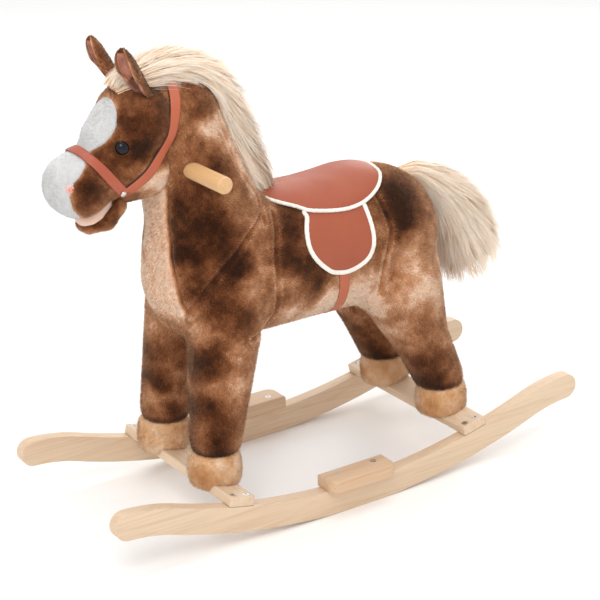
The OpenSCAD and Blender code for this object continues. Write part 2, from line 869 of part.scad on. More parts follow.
module jaw_pin() {
    color(steel) bar(jaw_pivot - [38, 0, 0], jaw_pivot + [38, 0, 0], 2);
}

module tail_motor_place() {
    translate(rump_c + 70 * tail_dir) rotate([tail_lift - 90, 0, 0]) children();
}

module tail_motor() {
    color(plastic) difference() {
        tail_motor_place() translate([-14, -16, -32]) cube([28, 32, 32]);
        bar(rump_c + 40 * tail_dir, rump_c + 140 * tail_dir, tail_shaft_r + bore_gap);
    }
}

module tail_shaft() {
    color(steel) bar(rump_c + 50 * tail_dir, tail_root + 20 * tail_dir, tail_shaft_r);
}

rocker_left();
rocker_right();
front_cross_board();
rear_cross_board();
footrest_left();
footrest_right();
cross_board_screws();
footrest_screws();
leg_post_front_left();
leg_post_front_right();
leg_post_rear_left();
leg_post_rear_right();
spine_board();
neck_post();
handle_dowel();
frame_screws();
body_plush();
neck_plush();
head_plush();
muzzle_plush();
jaw_plush();
jaw_lining();
leg_front_left();
leg_front_right();
leg_rear_left();
leg_rear_right();
hoof_front_left();
hoof_front_right();
hoof_rear_left();
hoof_rear_right();
ear_left();
ear_right();
ear_lining_left();
ear_lining_right();
eye_left();
eye_right();
nostril_buttons();
mane();
forelock();
tail();
saddle_seat();
saddle_flap_left();
saddle_flap_right();
saddle_piping();
girth_strap();
noseband();
headstall();
bridle_rivets();
sound_box();
battery_lid();
batteries();
speaker();
power_switch();
ear_button();
jaw_motor();
jaw_pin();
tail_motor();
tail_shaft();
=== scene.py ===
"""Looks of a plush rocking horse on wooden rockers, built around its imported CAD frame.

Shapes are worked out in millimetres and turned into metres when a mesh is made.
The horse faces -Y, its left side is +X, and the floor is z = 0.
"""
import math

import bmesh
import bpy
import numpy as np
from mathutils import Matrix, Vector


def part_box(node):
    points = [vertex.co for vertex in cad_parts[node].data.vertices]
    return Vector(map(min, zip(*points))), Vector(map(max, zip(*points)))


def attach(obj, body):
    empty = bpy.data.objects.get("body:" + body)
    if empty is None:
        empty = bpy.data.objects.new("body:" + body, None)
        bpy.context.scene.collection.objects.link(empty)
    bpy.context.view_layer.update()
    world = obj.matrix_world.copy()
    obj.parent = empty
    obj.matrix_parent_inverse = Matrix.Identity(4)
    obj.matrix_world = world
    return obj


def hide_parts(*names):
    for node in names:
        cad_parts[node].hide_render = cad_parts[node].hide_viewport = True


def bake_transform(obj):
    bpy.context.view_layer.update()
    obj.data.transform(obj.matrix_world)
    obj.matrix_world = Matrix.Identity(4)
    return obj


MM = 0.001
HORSE = "horse"

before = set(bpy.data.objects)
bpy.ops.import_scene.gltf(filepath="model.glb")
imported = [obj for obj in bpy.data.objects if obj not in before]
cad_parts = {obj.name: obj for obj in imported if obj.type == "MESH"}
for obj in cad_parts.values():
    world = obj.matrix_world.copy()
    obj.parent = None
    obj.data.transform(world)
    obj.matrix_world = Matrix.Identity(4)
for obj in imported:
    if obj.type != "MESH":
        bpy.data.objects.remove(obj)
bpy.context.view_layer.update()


# ---------- camera, floor and light ----------

def place_camera():
    """A long lens from the horse's left front, a little above its back, rolled by a hair."""
    azimuth, elevation, roll = (math.radians(a) for a in (56.892, 21.5185, -1.6344))
    back = Vector((math.sin(azimuth) * math.cos(elevation), -math.cos(azimuth) * math.cos(elevation),
                   math.sin(elevation)))
    right = Vector((math.cos(azimuth), math.sin(azimuth), 0))
    up = back.cross(right)
    x_axis = math.cos(roll) * right + math.sin(roll) * up
    y_axis = math.cos(roll) * up - math.sin(roll) * right
    data = bpy.data.cameras.new("camera")
    data.lens = 117.02
    data.sensor_width = 36
    data.clip_end = 50
    camera = bpy.data.objects.new("camera", data)
    turn = Matrix((x_axis, y_axis, back)).transposed()
    camera.matrix_world = Matrix.Translation((2.0667, -1.34976, 1.22702)) @ turn.to_4x4()
    bpy.context.scene.collection.objects.link(camera)
    bpy.context.scene.camera = camera


def srgb(r, g, b):
    """A colour given in 0 to 255 display values, as the linear values that shaders use."""
    def linear(c):
        c /= 255
        return c / 12.92 if c <= 0.04045 else ((c + 0.055) / 1.055) ** 2.4
    return (linear(r), linear(g), linear(b), 1.0)


def area_light(name, place, aim, size, power, colour=(1, 1, 1)):
    data = bpy.data.lights.new(name, "AREA")
    data.shape = "DISK"
    data.size = size
    data.energy = power
    data.color = colour
    lamp = bpy.data.objects.new(name, data)
    lamp.location = place
    lamp.rotation_mode = "QUATERNION"
    lamp.rotation_quaternion = (Vector(aim) - Vector(place)).to_track_quat("-Z", "Y")
    bpy.context.scene.collection.objects.link(lamp)


def set_stage():
    scene = bpy.context.scene
    scene.view_settings.view_transform = "Standard"
    scene.view_settings.look = "None"
    world = bpy.data.worlds.new("studio")
    world.use_nodes = True
    background = world.node_tree.nodes["Background"]
    background.inputs["Color"].default_value = (1.0, 0.995, 0.985, 1)
    background.inputs["Strength"].default_value = 0.95
    scene.world = world
    area_light("key", (1.6, -1.5, 2.6), (0, 0, 0.35), 1.6, 34, (1.0, 0.985, 0.96))
    area_light("top", (-0.3, 0.3, 2.6), (0, 0, 0.3), 2.0, 16)
    area_light("back_rim", (-1.7, 1.7, 1.3), (0, 0, 0.4), 1.2, 12)
    bpy.ops.mesh.primitive_circle_add(vertices=96, radius=14, fill_type="NGON")
    floor = bpy.context.object
    floor.name = "floor"
    floor.data.materials.append(simple_material("floor_pale", (0.93, 0.93, 0.93, 1), 0.9))


# ---------- materials ----------

def new_material(name):
    material = bpy.data.materials.new(name)
    material.use_nodes = True
    return material, material.node_tree, material.node_tree.nodes["Principled BSDF"]


def simple_material(name, colour, roughness, **sockets):
    """One shade, for parts such as single hairs whose variety comes from having several shades."""
    material, _, shader = new_material(name)
    shader.inputs["Base Color"].default_value = colour
    shader.inputs["Roughness"].default_value = roughness
    for socket, value in sockets.items():
        shader.inputs[socket.replace("_", " ")].default_value = value
    material.diffuse_color = colour
    return material


def feed(tree, socket, value):
    """Links another node's output to a socket, or sets a plain number or colour on it."""
    if isinstance(value, bpy.types.NodeSocket):
        tree.links.new(value, socket)
    else:
        socket.default_value = value

def darker(colour, share):
    return [c * share for c in colour[:3]] + [1]

def ramp(tree, factor, stops):
    """Colour ramp through (place, colour) stops."""
    node = tree.nodes.new("ShaderNodeValToRGB")
    tree.links.new(factor, node.inputs["Fac"])
    elements = node.color_ramp.elements
    while len(elements) > len(stops):
        elements.remove(elements[-1])
    while len(elements) < len(stops):
        elements.new(1.0)
    for element, (place, colour) in zip(elements, stops):
        element.position = place
        element.color = colour
    return node.outputs["Color"]


def noise(tree, coordinates, scale, detail, roughness=0.55, distortion=0.0):
    node = tree.nodes.new("ShaderNodeTexNoise")
    tree.links.new(coordinates, node.inputs["Vector"])
    for socket, value in (("Scale", scale), ("Detail", detail), ("Roughness", roughness),
                          ("Distortion", distortion)):
        node.inputs[socket].default_value = value
    return node.outputs["Fac"]


def stretched(tree, scale, turn=(0, 0, 0)):
    """Object coordinates stretched along the axes."""
    place = tree.nodes.new("ShaderNodeTexCoord")
    node = tree.nodes.new("ShaderNodeMapping")
    node.inputs["Scale"].default_value = scale
    node.inputs["Rotation"].default_value = turn
    tree.links.new(place.outputs["Object"], node.inputs["Vector"])
    return node.outputs["Vector"]


def mixed(tree, factor, a, b):
    node = tree.nodes.new("ShaderNodeMix")
    node.data_type = "RGBA"
    for index, value in ((0, factor), (6, a), (7, b)):
        feed(tree, node.inputs[index], value)
    return node.outputs[2]


def math_node(tree, operation, a, b, c=0.0, clamp=False):
    node = tree.nodes.new("ShaderNodeMath")
    node.operation = operation
    node.use_clamp = clamp
    for index, value in enumerate((a, b, c)):
        feed(tree, node.inputs[index], value)
    return node.outputs[0]


def bump(tree, shader, height, strength, distance):
    node = tree.nodes.new("ShaderNodeBump")
    node.inputs["Strength"].default_value = strength
    node.inputs["Distance"].default_value = distance
    tree.links.new(height, node.inputs["Height"])
    tree.links.new(node.outputs["Normal"], shader.inputs["Normal"])


def wood_material(name, grain, pale, warm, line):
    """Planed pine: long growth lines along one axis (0, 1 or 2), soft colour drift, fine pores."""
    material, tree, shader = new_material(name)
    long_scale = [26.0, 26.0, 26.0]
    long_scale[grain] = 1.5
    fine_scale = [420.0, 420.0, 420.0]
    fine_scale[grain] = 9.0
    drift = noise(tree, stretched(tree, [s * 0.35 for s in long_scale]), 1.0, 2.0)
    rings = noise(tree, stretched(tree, long_scale, (0.02, 0.03, 0.02)), 1.6, 3.0, 0.6, 0.5)
    bands = math_node(tree, "PINGPONG", math_node(tree, "MULTIPLY", rings, 9.0), 1.0)
    streaks = ramp(tree, bands, [(0.0, (0, 0, 0, 1)), (0.72, (0.15, 0.15, 0.15, 1)), (1.0, (1, 1, 1, 1))])
    fibres = noise(tree, stretched(tree, fine_scale), 1.0, 3.0)
    base = mixed(tree, drift, pale, warm)
    lined = mixed(tree, math_node(tree, "MULTIPLY", streaks, 0.42), base, line)
    pores = ramp(tree, fibres, [(0.35, (1, 1, 1, 1)), (0.55, (0, 0, 0, 1))])
    pores = math_node(tree, "MULTIPLY", pores, 0.22)
    colour = mixed(tree, pores, lined, darker(line, 0.8))
    tree.links.new(colour, shader.inputs["Base Color"])
    rough = math_node(tree, "MULTIPLY_ADD", fibres, 0.2, 0.42)
    tree.links.new(rough, shader.inputs["Roughness"])
    bump(tree, shader, fibres, 0.25, 0.0004)
    return material


def plush_material(name, stops, sheen_tint, speckle, sheen=0.5, nap=900.0):
    """Short pile: the stored tone picks the shade, fine noise breaks it up, and sheen lights its edges."""
    material, tree, shader = new_material(name)
    tone = tree.nodes.new("ShaderNodeAttribute")
    tone.attribute_name = "tone"
    fine = noise(tree, stretched(tree, (1.0, 1.0, 0.45)), nap, 3.0, 0.6)
    soft = noise(tree, stretched(tree, (1.0, 1.0, 0.8)), nap * 0.16, 3.0, 0.6)
    grain = math_node(tree, "SUBTRACT", math_node(tree, "ADD", fine, soft), 1.0)
    shade = math_node(tree, "MULTIPLY_ADD", grain, speckle * 4, tone.outputs["Fac"], clamp=True)
    tree.links.new(ramp(tree, shade, stops), shader.inputs["Base Color"])
    shader.inputs["Roughness"].default_value = 0.95
    shader.inputs["Specular IOR Level"].default_value = 0.15
    shader.inputs["Sheen Weight"].default_value = sheen
    shader.inputs["Sheen Roughness"].default_value = 0.45
    shader.inputs["Sheen Tint"].default_value = sheen_tint
    bump(tree, shader, math_node(tree, "ADD", fine, soft), 0.6, 0.0012)
    return material


def leather_material(name, colour, dark, roughness):
    """Grained artificial leather with slight drift in colour and shine, and painted shade in its grain
    creases.
    """
    material, tree, shader = new_material(name)
    place = stretched(tree, (1, 1, 1))
    cells = tree.nodes.new("ShaderNodeTexVoronoi")
    cells.feature = "DISTANCE_TO_EDGE"
    cells.inputs["Scale"].default_value = 780.0
    tree.links.new(place, cells.inputs["Vector"])
    creases = math_node(tree, "MULTIPLY", cells.outputs["Distance"], 2.2, clamp=True)
    drift = noise(tree, place, 26.0, 3.0)
    tint = mixed(tree, drift, colour, dark)
    # Painted shade: the grain's creases are darkened towards the dark colour
    deep = mixed(tree, math_node(tree, "MULTIPLY", math_node(tree, "SUBTRACT", 1.0, creases), 0.14), tint,
                 darker(dark, 0.6))
    tree.links.new(deep, shader.inputs["Base Color"])
    tree.links.new(math_node(tree, "MULTIPLY_ADD", drift, 0.16, roughness - 0.08), shader.inputs["Roughness"])
    shader.inputs["Specular IOR Level"].default_value = 0.4
    bump(tree, shader, creases, 0.22, 0.0005)
    return material


def woven_material(name, colour, dark, pitch=0.0009):
    """Fine plain weave, for binding tape, with painted shade between its threads."""
    material, tree, shader = new_material(name)
    place = stretched(tree, (1, 1, 1))
    weave = None
    for axis in "XYZ":
        wave = tree.nodes.new("ShaderNodeTexWave")
        wave.bands_direction = axis
        wave.inputs["Scale"].default_value = 1 / pitch / 20
        wave.inputs["Distortion"].default_value = 0.6
        tree.links.new(place, wave.inputs["Vector"])
        fac = wave.outputs["Fac"]
        weave = fac if weave is None else math_node(tree, "MULTIPLY", weave, fac)
    soil = noise(tree, place, 60.0, 3.0)
    # Painted shade where the weave is low, between the threads, plus a random drift in colour from the soil
    # noise
    shade = math_node(tree, "MULTIPLY_ADD", weave, -0.6, math_node(tree, "MULTIPLY", soil, 0.8), clamp=True)
    tree.links.new(mixed(tree, shade, colour, dark), shader.inputs["Base Color"])
    shader.inputs["Roughness"].default_value = 0.85
    bump(tree, shader, weave, 0.35, 0.0004)
    return material


# ---------- fields: signed distances in millimetres ----------

def cone(p, a, ra, b, rb):
    """Round cone: ball ra at a, ball rb at b, and the cone that touches both."""
    a, b = np.asarray(a, float), np.asarray(b, float)
    along = b - a
    length2 = along @ along
    drop = ra - rb
    slant2 = length2 - drop * drop
    from_a = p - a
    y = from_a @ along
    z = y - length2
    side = from_a * length2 - np.outer(y, along)
    x2 = (side * side).sum(1)
    y2 = y * y * length2
    z2 = z * z * length2
    k = np.sign(drop) * drop * drop * x2
    out = (np.sqrt(np.maximum(x2 * slant2 / length2, 0)) + y * drop) / length2 - ra
    out = np.where(np.sign(y) * slant2 * y2 < k, np.sqrt(x2 + y2) / length2 - ra, out)
    return np.where(np.sign(z) * slant2 * z2 > k, np.sqrt(x2 + z2) / length2 - rb, out)


def ball(p, centre, radius):
    return np.linalg.norm(p - np.asarray(centre, float), axis=1) - radius


def soft_min(a, b, k):
    h = np.maximum(k - np.abs(a - b), 0) / k
    return np.minimum(a, b) - h * h * k / 4


def soft_max(a, b, k):
    return -soft_min(-a, -b, k)


def mirrored(p):
    q = p.copy()
    q[:, 0] = np.abs(q[:, 0])
    return q


def path_distance(yz, path):
    """Distance in the y-z plane to a polyline."""
    best = np.full(len(yz), 1e9)
    for a, b in zip(path[:-1], path[1:]):
        a, b = np.array(a, float), np.array(b, float)
        t = np.clip(((yz - a) @ (b - a)) / ((b - a) @ (b - a)), 0, 1)
        best = np.minimum(best, np.linalg.norm(yz - a - t[:, None] * (b - a), axis=1))
    return best


# The eight corners of a unit cube
CORNERS = tuple(np.ndindex(2, 2, 2))

def lattice_noise(p, scale, seed):
    """Smooth value noise from -1 to 1 at a given size in millimetres."""
    rng = np.random.default_rng(seed)
    table = rng.uniform(-1, 1, 4096)
    q = p / scale
    i = np.floor(q).astype(np.int64)
    f = q - i
    f = f * f * (3 - 2 * f)
    out = np.zeros(len(p))
    for dx, dy, dz in CORNERS:
        key = (i[:, 0] + dx) * 73856093 ^ (i[:, 1] + dy) * 19349663 ^ (i[:, 2] + dz) * 83492791
        w = (f[:, 0] if dx else 1 - f[:, 0]) * (f[:, 1] if dy else 1 - f[:, 1]) * (
            f[:, 2] if dz else 1 - f[:, 2])
        out += w * table[key & 4095]
    return out


def layered_noise(p, scale, seed, layers=3):
    return sum(lattice_noise(p, scale / 2 ** n, seed + n) * 0.55 ** n for n in range(layers))


# ---------- meshes from fields ----------

def gradient(field, p, eps=0.4):
    g = np.empty_like(p)
    for axis in range(3):
        step = np.zeros(3)
        step[axis] = eps
        g[:, axis] = (field(p + step) - field(p - step)) / (2 * eps)
    return g


def unit(v):
    return v / np.maximum(np.linalg.norm(v, axis=-1, keepdims=True), 1e-9)


def flattened(v, normals):
    """The part of each vector that lies along the surface."""
    return v - (v * normals).sum(1, keepdims=True) * normals

def pull_to(field, p, rounds):
    """Moves points along the field's slope onto its surface."""
    for _ in range(rounds):
        g = gradient(field, p)
        size2 = np.maximum((g * g).sum(1), 0.05)
        move = (field(p) / size2)[:, None] * g
        length = np.linalg.norm(move, axis=1, keepdims=True)
        p = p - move * np.minimum(1, 4 / np.maximum(length, 1e-9))
    return p


def net(field, low, high, step, rounds=3):
    """Closed mesh of four-sided faces where the field is zero, evened out and pulled onto the surface."""
    axes = [np.arange(a, b + step, step) for a, b in zip(low, high)]
    size = tuple(len(a) for a in axes)
    coarse = 4
    rough_points = np.stack(np.meshgrid(*[a[::coarse] for a in axes], indexing="ij"), -1)
    rough = field(rough_points.reshape(-1, 3)).reshape(rough_points.shape[:3])
    value = rough
    for axis in range(3):
        value = value.repeat(coarse, axis)
    value = value[:size[0], :size[1], :size[2]].copy()
    near = np.abs(value) < coarse * step * 1.9
    grid = np.stack(np.meshgrid(*axes, indexing="ij"), -1)
    value[near] = field(grid[near])
    inside = value < 0
    cells = tuple(n - 1 for n in size)
    count = np.zeros(cells, int)
    for dx, dy, dz in CORNERS:
        count += inside[dx:dx + cells[0], dy:dy + cells[1], dz:dz + cells[2]]
    mixed_cells = (count > 0) & (count < 8)
    number = np.full(cells, -1)
    number[mixed_cells] = np.arange(mixed_cells.sum())
    points = grid[:-1, :-1, :-1][mixed_cells] + step / 2
    quads = []
    for axis in range(3):
        u, v = (axis + 1) % 3, (axis + 2) % 3
        first = np.moveaxis(inside, (axis, u, v), (0, 1, 2))
        numbers = np.moveaxis(number, (axis, u, v), (0, 1, 2))
        a = first[:-1, 1:-1, 1:-1]
        b = first[1:, 1:-1, 1:-1]
        for sign, where in ((1, a & ~b), (-1, ~a & b)):
            i, j, k = np.nonzero(where)
            ring = [numbers[i, j, k], numbers[i, j + 1, k], numbers[i, j + 1, k + 1], numbers[i, j, k + 1]]
            quads.append(np.stack(ring[::sign], 1))
    quads = np.concatenate(quads)
    edges = np.concatenate([quads[:, [0, 1]], quads[:, [1, 2]], quads[:, [2, 3]], quads[:, [3, 0]]])
    edges = np.unique(np.sort(edges, 1), axis=0)
    both = np.concatenate([edges, edges[:, ::-1]])
    degree = np.bincount(both[:, 0], minlength=len(points))
    points = pull_to(field, points, 2)
    for _ in range(rounds):
        mean = np.stack([np.bincount(both[:, 0], points[both[:, 1], c], len(points)) for c in range(3)], 1)
        points = points * 0.4 + 0.6 * mean / degree[:, None]
        points = pull_to(field, points, 1)
    return pull_to(field, points, 2), quads


def build(name, points, faces, materials, body=HORSE, slot=None, shades=None, tone=None):
    """A piece from points in millimetres and faces, riding on a body."""
    mesh = bpy.data.meshes.new(name)
    points = np.asarray(points, float) * MM
    if isinstance(faces, np.ndarray):
        sides = faces.shape[1]
        mesh.vertices.add(len(points))
        mesh.vertices.foreach_set("co", points.ravel())
        mesh.loops.add(faces.size)
        mesh.loops.foreach_set("vertex_index", faces.ravel().astype(np.int32))
        mesh.polygons.add(len(faces))
        mesh.polygons.foreach_set("loop_start", np.arange(0, faces.size, sides, dtype=np.int32))
    else:
        mesh.from_pydata([tuple(p) for p in points], [], [tuple(f) for f in faces])
    for material in materials:
        mesh.materials.append(material)
    if shades is not None:
        mesh.polygons.foreach_set("material_index", np.asarray(shades, np.int32))
    mesh.polygons.foreach_set("use_smooth", np.ones(len(mesh.polygons), bool))
    mesh.update(calc_edges=True)
    mesh.validate()
    if tone is not None:
        mesh.attributes.new("tone", "FLOAT", "POINT").data.foreach_set("value", np.asarray(tone, np.float32))
    piece = bpy.data.objects.new(name, mesh)
    bpy.context.scene.collection.objects.link(piece)
    if body:
        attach(piece, body)
    return piece


def face_outward(piece):
    """Turns the faces of a closed piece outwards."""
    shape = bmesh.new()
    shape.from_mesh(piece.data)
    bmesh.ops.recalc_face_normals(shape, faces=shape.faces)
    shape.to_mesh(piece.data)
    shape.free()

def split_off(points, quads, chosen):
    """The chosen faces alone, with their own points, and the old numbers of those points."""
    faces = quads[chosen]
    used, renumbered = np.unique(faces, return_inverse=True)
    return points[used], renumbered.reshape(faces.shape), used


def shade_by(piece, normals):
    """Smooth shading from given point normals, so that neighbouring pieces and hairs meet without a break."""
    free = piece.data.attributes.new("custom_normal", "FLOAT_VECTOR", "POINT")
    free.data.foreach_set("vector", np.asarray(normals, np.float32).ravel())
    piece.data.update()


def scatter(points, quads, per_mm2, rng):
    """Even random points over four-sided faces."""
    a, b, c, d = (points[quads[:, i]] for i in range(4))
    area = 0.5 * np.linalg.norm(np.cross(c - a, d - b), axis=1)
    count = int(area.sum() * per_mm2)
    pick = rng.choice(len(quads), count, p=area / area.sum())
    u, v = rng.random((2, count, 1))
    return (a[pick] * (1 - u) + b[pick] * u) * (1 - v) + (d[pick] * (1 - u) + c[pick] * u) * v


def pile(name, roots, normals, flow, length, width, shades, materials, rng, upright, mess=0.22, **where):
    """Short brushed hairs: one tapering face each, leaning along the nap."""
    count = len(roots)
    lean = unit(normals * upright + flow * (1 - upright) + rng.normal(0, mess, (count, 3)))
    side = unit(np.cross(lean, normals) + rng.normal(0, 0.2, (count, 3)))
    side = side * np.sign((np.cross(side, lean) * normals).sum(1, keepdims=True) + 1e-9) * width / 2
    foot = roots - normals * 0.4
    points = np.stack([foot - side, foot + side, foot + lean * length[:, None]], 1).reshape(-1, 3)
    faces = np.arange(count * 3).reshape(-1, 3)
    piece = build(name, points, faces, materials, shades=shades, **where)
    soft = unit(normals + lean * 0.35 + rng.normal(0, 0.16, (count, 3)))
    shade_by(piece, soft.repeat(3, 0))
    return piece


def along(path, t):
    """Points at t from 0 to 1 on a polyline of evenly counted knots, running straight on past its ends."""
    path = np.asarray(path, float)
    x = np.asarray(t) * (len(path) - 1)
    i = np.clip(np.floor(x).astype(int), 0, len(path) - 2)
    f = (x - i)[..., None] if path.ndim > 1 else x - i
    return path[i] * (1 - f) + path[i + 1] * f


def smooth_path(points, count, closed=False):
    """Catmull-Rom curve through points, resampled evenly by length."""
    p = np.asarray(points, float)
    if closed:
        knots = np.concatenate([p[-1:], p, p[:2]])
    else:
        knots = np.concatenate([2 * p[:1] - p[1:2], p, 2 * p[-1:] - p[-2:-1]])
    fine = []
    for i in range(1, len(knots) - 2):
        a, b, c, d = knots[i - 1:i + 3]
        for t in np.arange(0, 1, 0.05):
            fine.append(0.5 * (2 * b + (c - a) * t + (2 * a - 5 * b + 4 * c - d) * t ** 2
                               + (3 * b - a - 3 * c + d) * t ** 3))
    fine.append(knots[-2])
    fine = np.array(fine)
    steps = np.concatenate([[0], np.cumsum(np.linalg.norm(np.diff(fine, axis=0), axis=1))])
    want = np.linspace(0, steps[-1], count + 1 if closed else count)
    out = np.stack([np.interp(want, steps, fine[:, c]) for c in range(fine.shape[1])], 1)
    return out[:-1] if closed else out


def locks(name, line, out, side, count, seed, materials, starts, span, arc, rho, width,
          segments, clumps, droop, flick, waviness=2.6, body=HORSE, slot="long_fur"):
    """Long hair in tapering ribbons that follow a line and gather into pointed locks.

    line holds points, and out and side the half sizes of the hair round each of them.
    """
    rng = np.random.default_rng(seed)

    def draw(number, least):
        """Where each starts along the line, its angle round it, its depth and how far it runs."""
        return np.stack([rng.uniform(*starts, number), rng.uniform(-arc, arc, number),
                         rng.uniform(least, 1, number), rng.uniform(*span, number)], 1)
    own, lead = draw(count, 0), draw(clumps, 0.15)
    scale = np.array([5.0, 1.0 / arc * 2, 0.6, 0.0])
    gap = ((own[:, None, :] - lead[None]) * scale) ** 2
    nearest = gap.sum(2).argmin(1)
    lead = lead[nearest]
    sway = rng.normal(0, 1, (count, 2))
    rows = []
    for k in range(segments + 1):
        s = k / segments
        pull = 0.6 * s ** 1.3
        mix = own * (1 - pull) + lead * pull
        t = mix[:, 0] + mix[:, 3] * s
        reach = rho[0] + (rho[1] - rho[0]) * s ** 0.75
        reach = reach * (0.35 + 0.65 * np.sqrt(mix[:, 2])) + flick * s ** 3 * (0.4 + np.abs(sway[:, 0]) * 0.6)
        centre, o, w = along(line, t), along(out, t), along(side, t)
        spot = centre + (reach * np.cos(mix[:, 1]))[:, None] * o + (reach * np.sin(mix[:, 1]))[:, None] * w
        wave = np.sin(s * 5 + nearest * 1.7)[:, None] * waviness * s
        spot = spot + wave * unit(w) + np.array([0, 0, -1.0]) * droop * s ** 2 * own[:, 2:3]
        spot = spot + sway[:, :1] * unit(o) * 1.4 * s + sway[:, 1:] * unit(w) * 1.8 * s
        rows.append(spot)
    rows = np.stack(rows, 1)
    middle = along(line, own[:, 0] + own[:, 3] * 0.5)
    outward = unit(rows[:, segments // 2] - middle)
    run = unit(np.gradient(rows, axis=1))
    turn = unit(np.cross(run, outward[:, None, :]) + rng.normal(0, 0.25, (count, 1, 3)))
    taper = np.array([max(0.12, (1 - (k / segments) ** 2.2)) for k in range(segments + 1)])
    half = turn * (width / 2 * taper)[None, :, None] * rng.uniform(0.6, 1.2, (count, 1, 1))
    points = np.stack([rows - half, rows + half], 2).reshape(-1, 3)
    base = (np.arange(count) * (segments + 1) * 2)[:, None] + (np.arange(segments) * 2)[None]
    faces = np.stack([base, base + 1, base + 3, base + 2], -1).reshape(-1, 4)
    shade = np.arange(segments)[None] / segments * (len(materials) - 1) + rng.normal(0, 0.9, (count, 1))
    shade = np.clip(np.round(shade), 0, len(materials) - 1).astype(int).reshape(-1)
    piece = build(name, points, faces, materials, shades=shade, body=body, slot=slot)
    normal = unit(outward[:, None, :] * 1.0 + run * 0.2 + rng.normal(0, 0.22, (count, 1, 3)))
    shade_by(piece, normal.repeat(2, 1).reshape(-1, 3))
    return piece


def ring_faces(a, b, count):
    """Faces between two closed rings of points, which start at numbers a and b."""
    return [(a + i, a + (i + 1) % count, b + (i + 1) % count, b + i) for i in range(count)]

def caps(count, rings):
    """Faces that close the first and the last of a row of rings."""
    return [tuple(range(count))[::-1], tuple(range((rings - 1) * count, rings * count))]

def lathe(centre, axis, profile, turns):
    """Points and faces of a profile of (radius, height) turned about an axis, closed at both ends."""
    axis = unit(np.asarray(axis, float))
    u = unit(np.cross(axis, [0.31, 0.2, 0.93]))
    v = np.cross(axis, u)
    angles = np.linspace(0, 2 * math.pi, turns, endpoint=False)
    ring = np.cos(angles)[:, None] * u + np.sin(angles)[:, None] * v
    points = np.concatenate([np.asarray(centre, float) + ring * r + axis * h for r, h in profile])
    faces = []
    for k in range(len(profile) - 1):
        faces += ring_faces(k * turns, (k + 1) * turns, turns)
    return points, faces + caps(turns, len(profile))


def tube(path, radius, sides, closed=False, flat=None):
    """Points and faces of a round tube along a path, or of a band if flat gives its normal and width."""
    path = np.asarray(path, float)
    count = len(path)
    run = unit(np.roll(path, -1, 0) - np.roll(path, 1, 0)) if closed else unit(np.gradient(path, axis=0))
    if flat is None:
        up = np.zeros_like(path)
        last = unit(np.cross(run[0], [0.3, 0.5, 0.8]))
        for i in range(count):
            last = unit(last - (last @ run[i]) * run[i])
            up[i] = last
        half = radius
    else:
        up, half = flat
        up = unit(flattened(up, run))
    side = np.cross(run, up)
    rows = []
    for i in range(sides):
        a = 2 * math.pi * (i + 0.5) / sides
        c, s = math.cos(a), math.sin(a)
        if flat is not None:
            c = math.copysign(abs(c) ** 0.35, c)
            s = math.copysign(abs(s) ** 0.6, s)
        rows.append(path + side * c * half + up * s * radius)
    points = np.stack(rows, 1).reshape(-1, 3)
    faces = []
    for k in range(count if closed else count - 1):
        faces += ring_faces(k * sides, (k + 1) % count * sides, sides)
    return points, faces if closed else faces + caps(sides, count)


def subdivided(piece):
    modifier = piece.modifiers.new("smooth", "SUBSURF")
    modifier.levels = modifier.render_levels = 1
    return piece


# ---------- wood, screws and other plain CAD parts ----------

PINE = (srgb(222, 199, 172), srgb(213, 185, 155), srgb(198, 163, 130))


def rounded(name, radius, material, angle=32):
    """A CAD part with its edges eased, as a new piece in its place."""
    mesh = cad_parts[name].data.copy()
    mesh.name = name + "_eased"
    mesh.transform(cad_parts[name].matrix_world)
    shape = bmesh.new()
    shape.from_mesh(mesh)
    bmesh.ops.remove_doubles(shape, verts=shape.verts, dist=1e-5)
    bmesh.ops.dissolve_limit(shape, angle_limit=math.radians(1.5), verts=shape.verts, edges=shape.edges)
    sharp = [e for e in shape.edges if len(e.link_faces) == 2 and e.calc_face_angle(0) > math.radians(angle)
             and e.calc_length() > radius * MM * 0.4]
    bmesh.ops.bevel(shape, geom=sharp, offset=radius * MM, segments=3, profile=0.5, affect="EDGES",
                    clamp_overlap=True)
    shape.to_mesh(mesh)
    shape.free()
    mesh.materials.clear()
    mesh.materials.append(material)
    mesh.polygons.foreach_set("material_index", np.zeros(len(mesh.polygons), np.int32))
    mesh.polygons.foreach_set("use_smooth", np.ones(len(mesh.polygons), bool))
    mesh.set_sharp_from_angle(angle=math.radians(38))
    piece = bpy.data.objects.new(mesh.name, mesh)
    bpy.context.scene.collection.objects.link(piece)
    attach(piece, HORSE)
    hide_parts(name)
    return piece


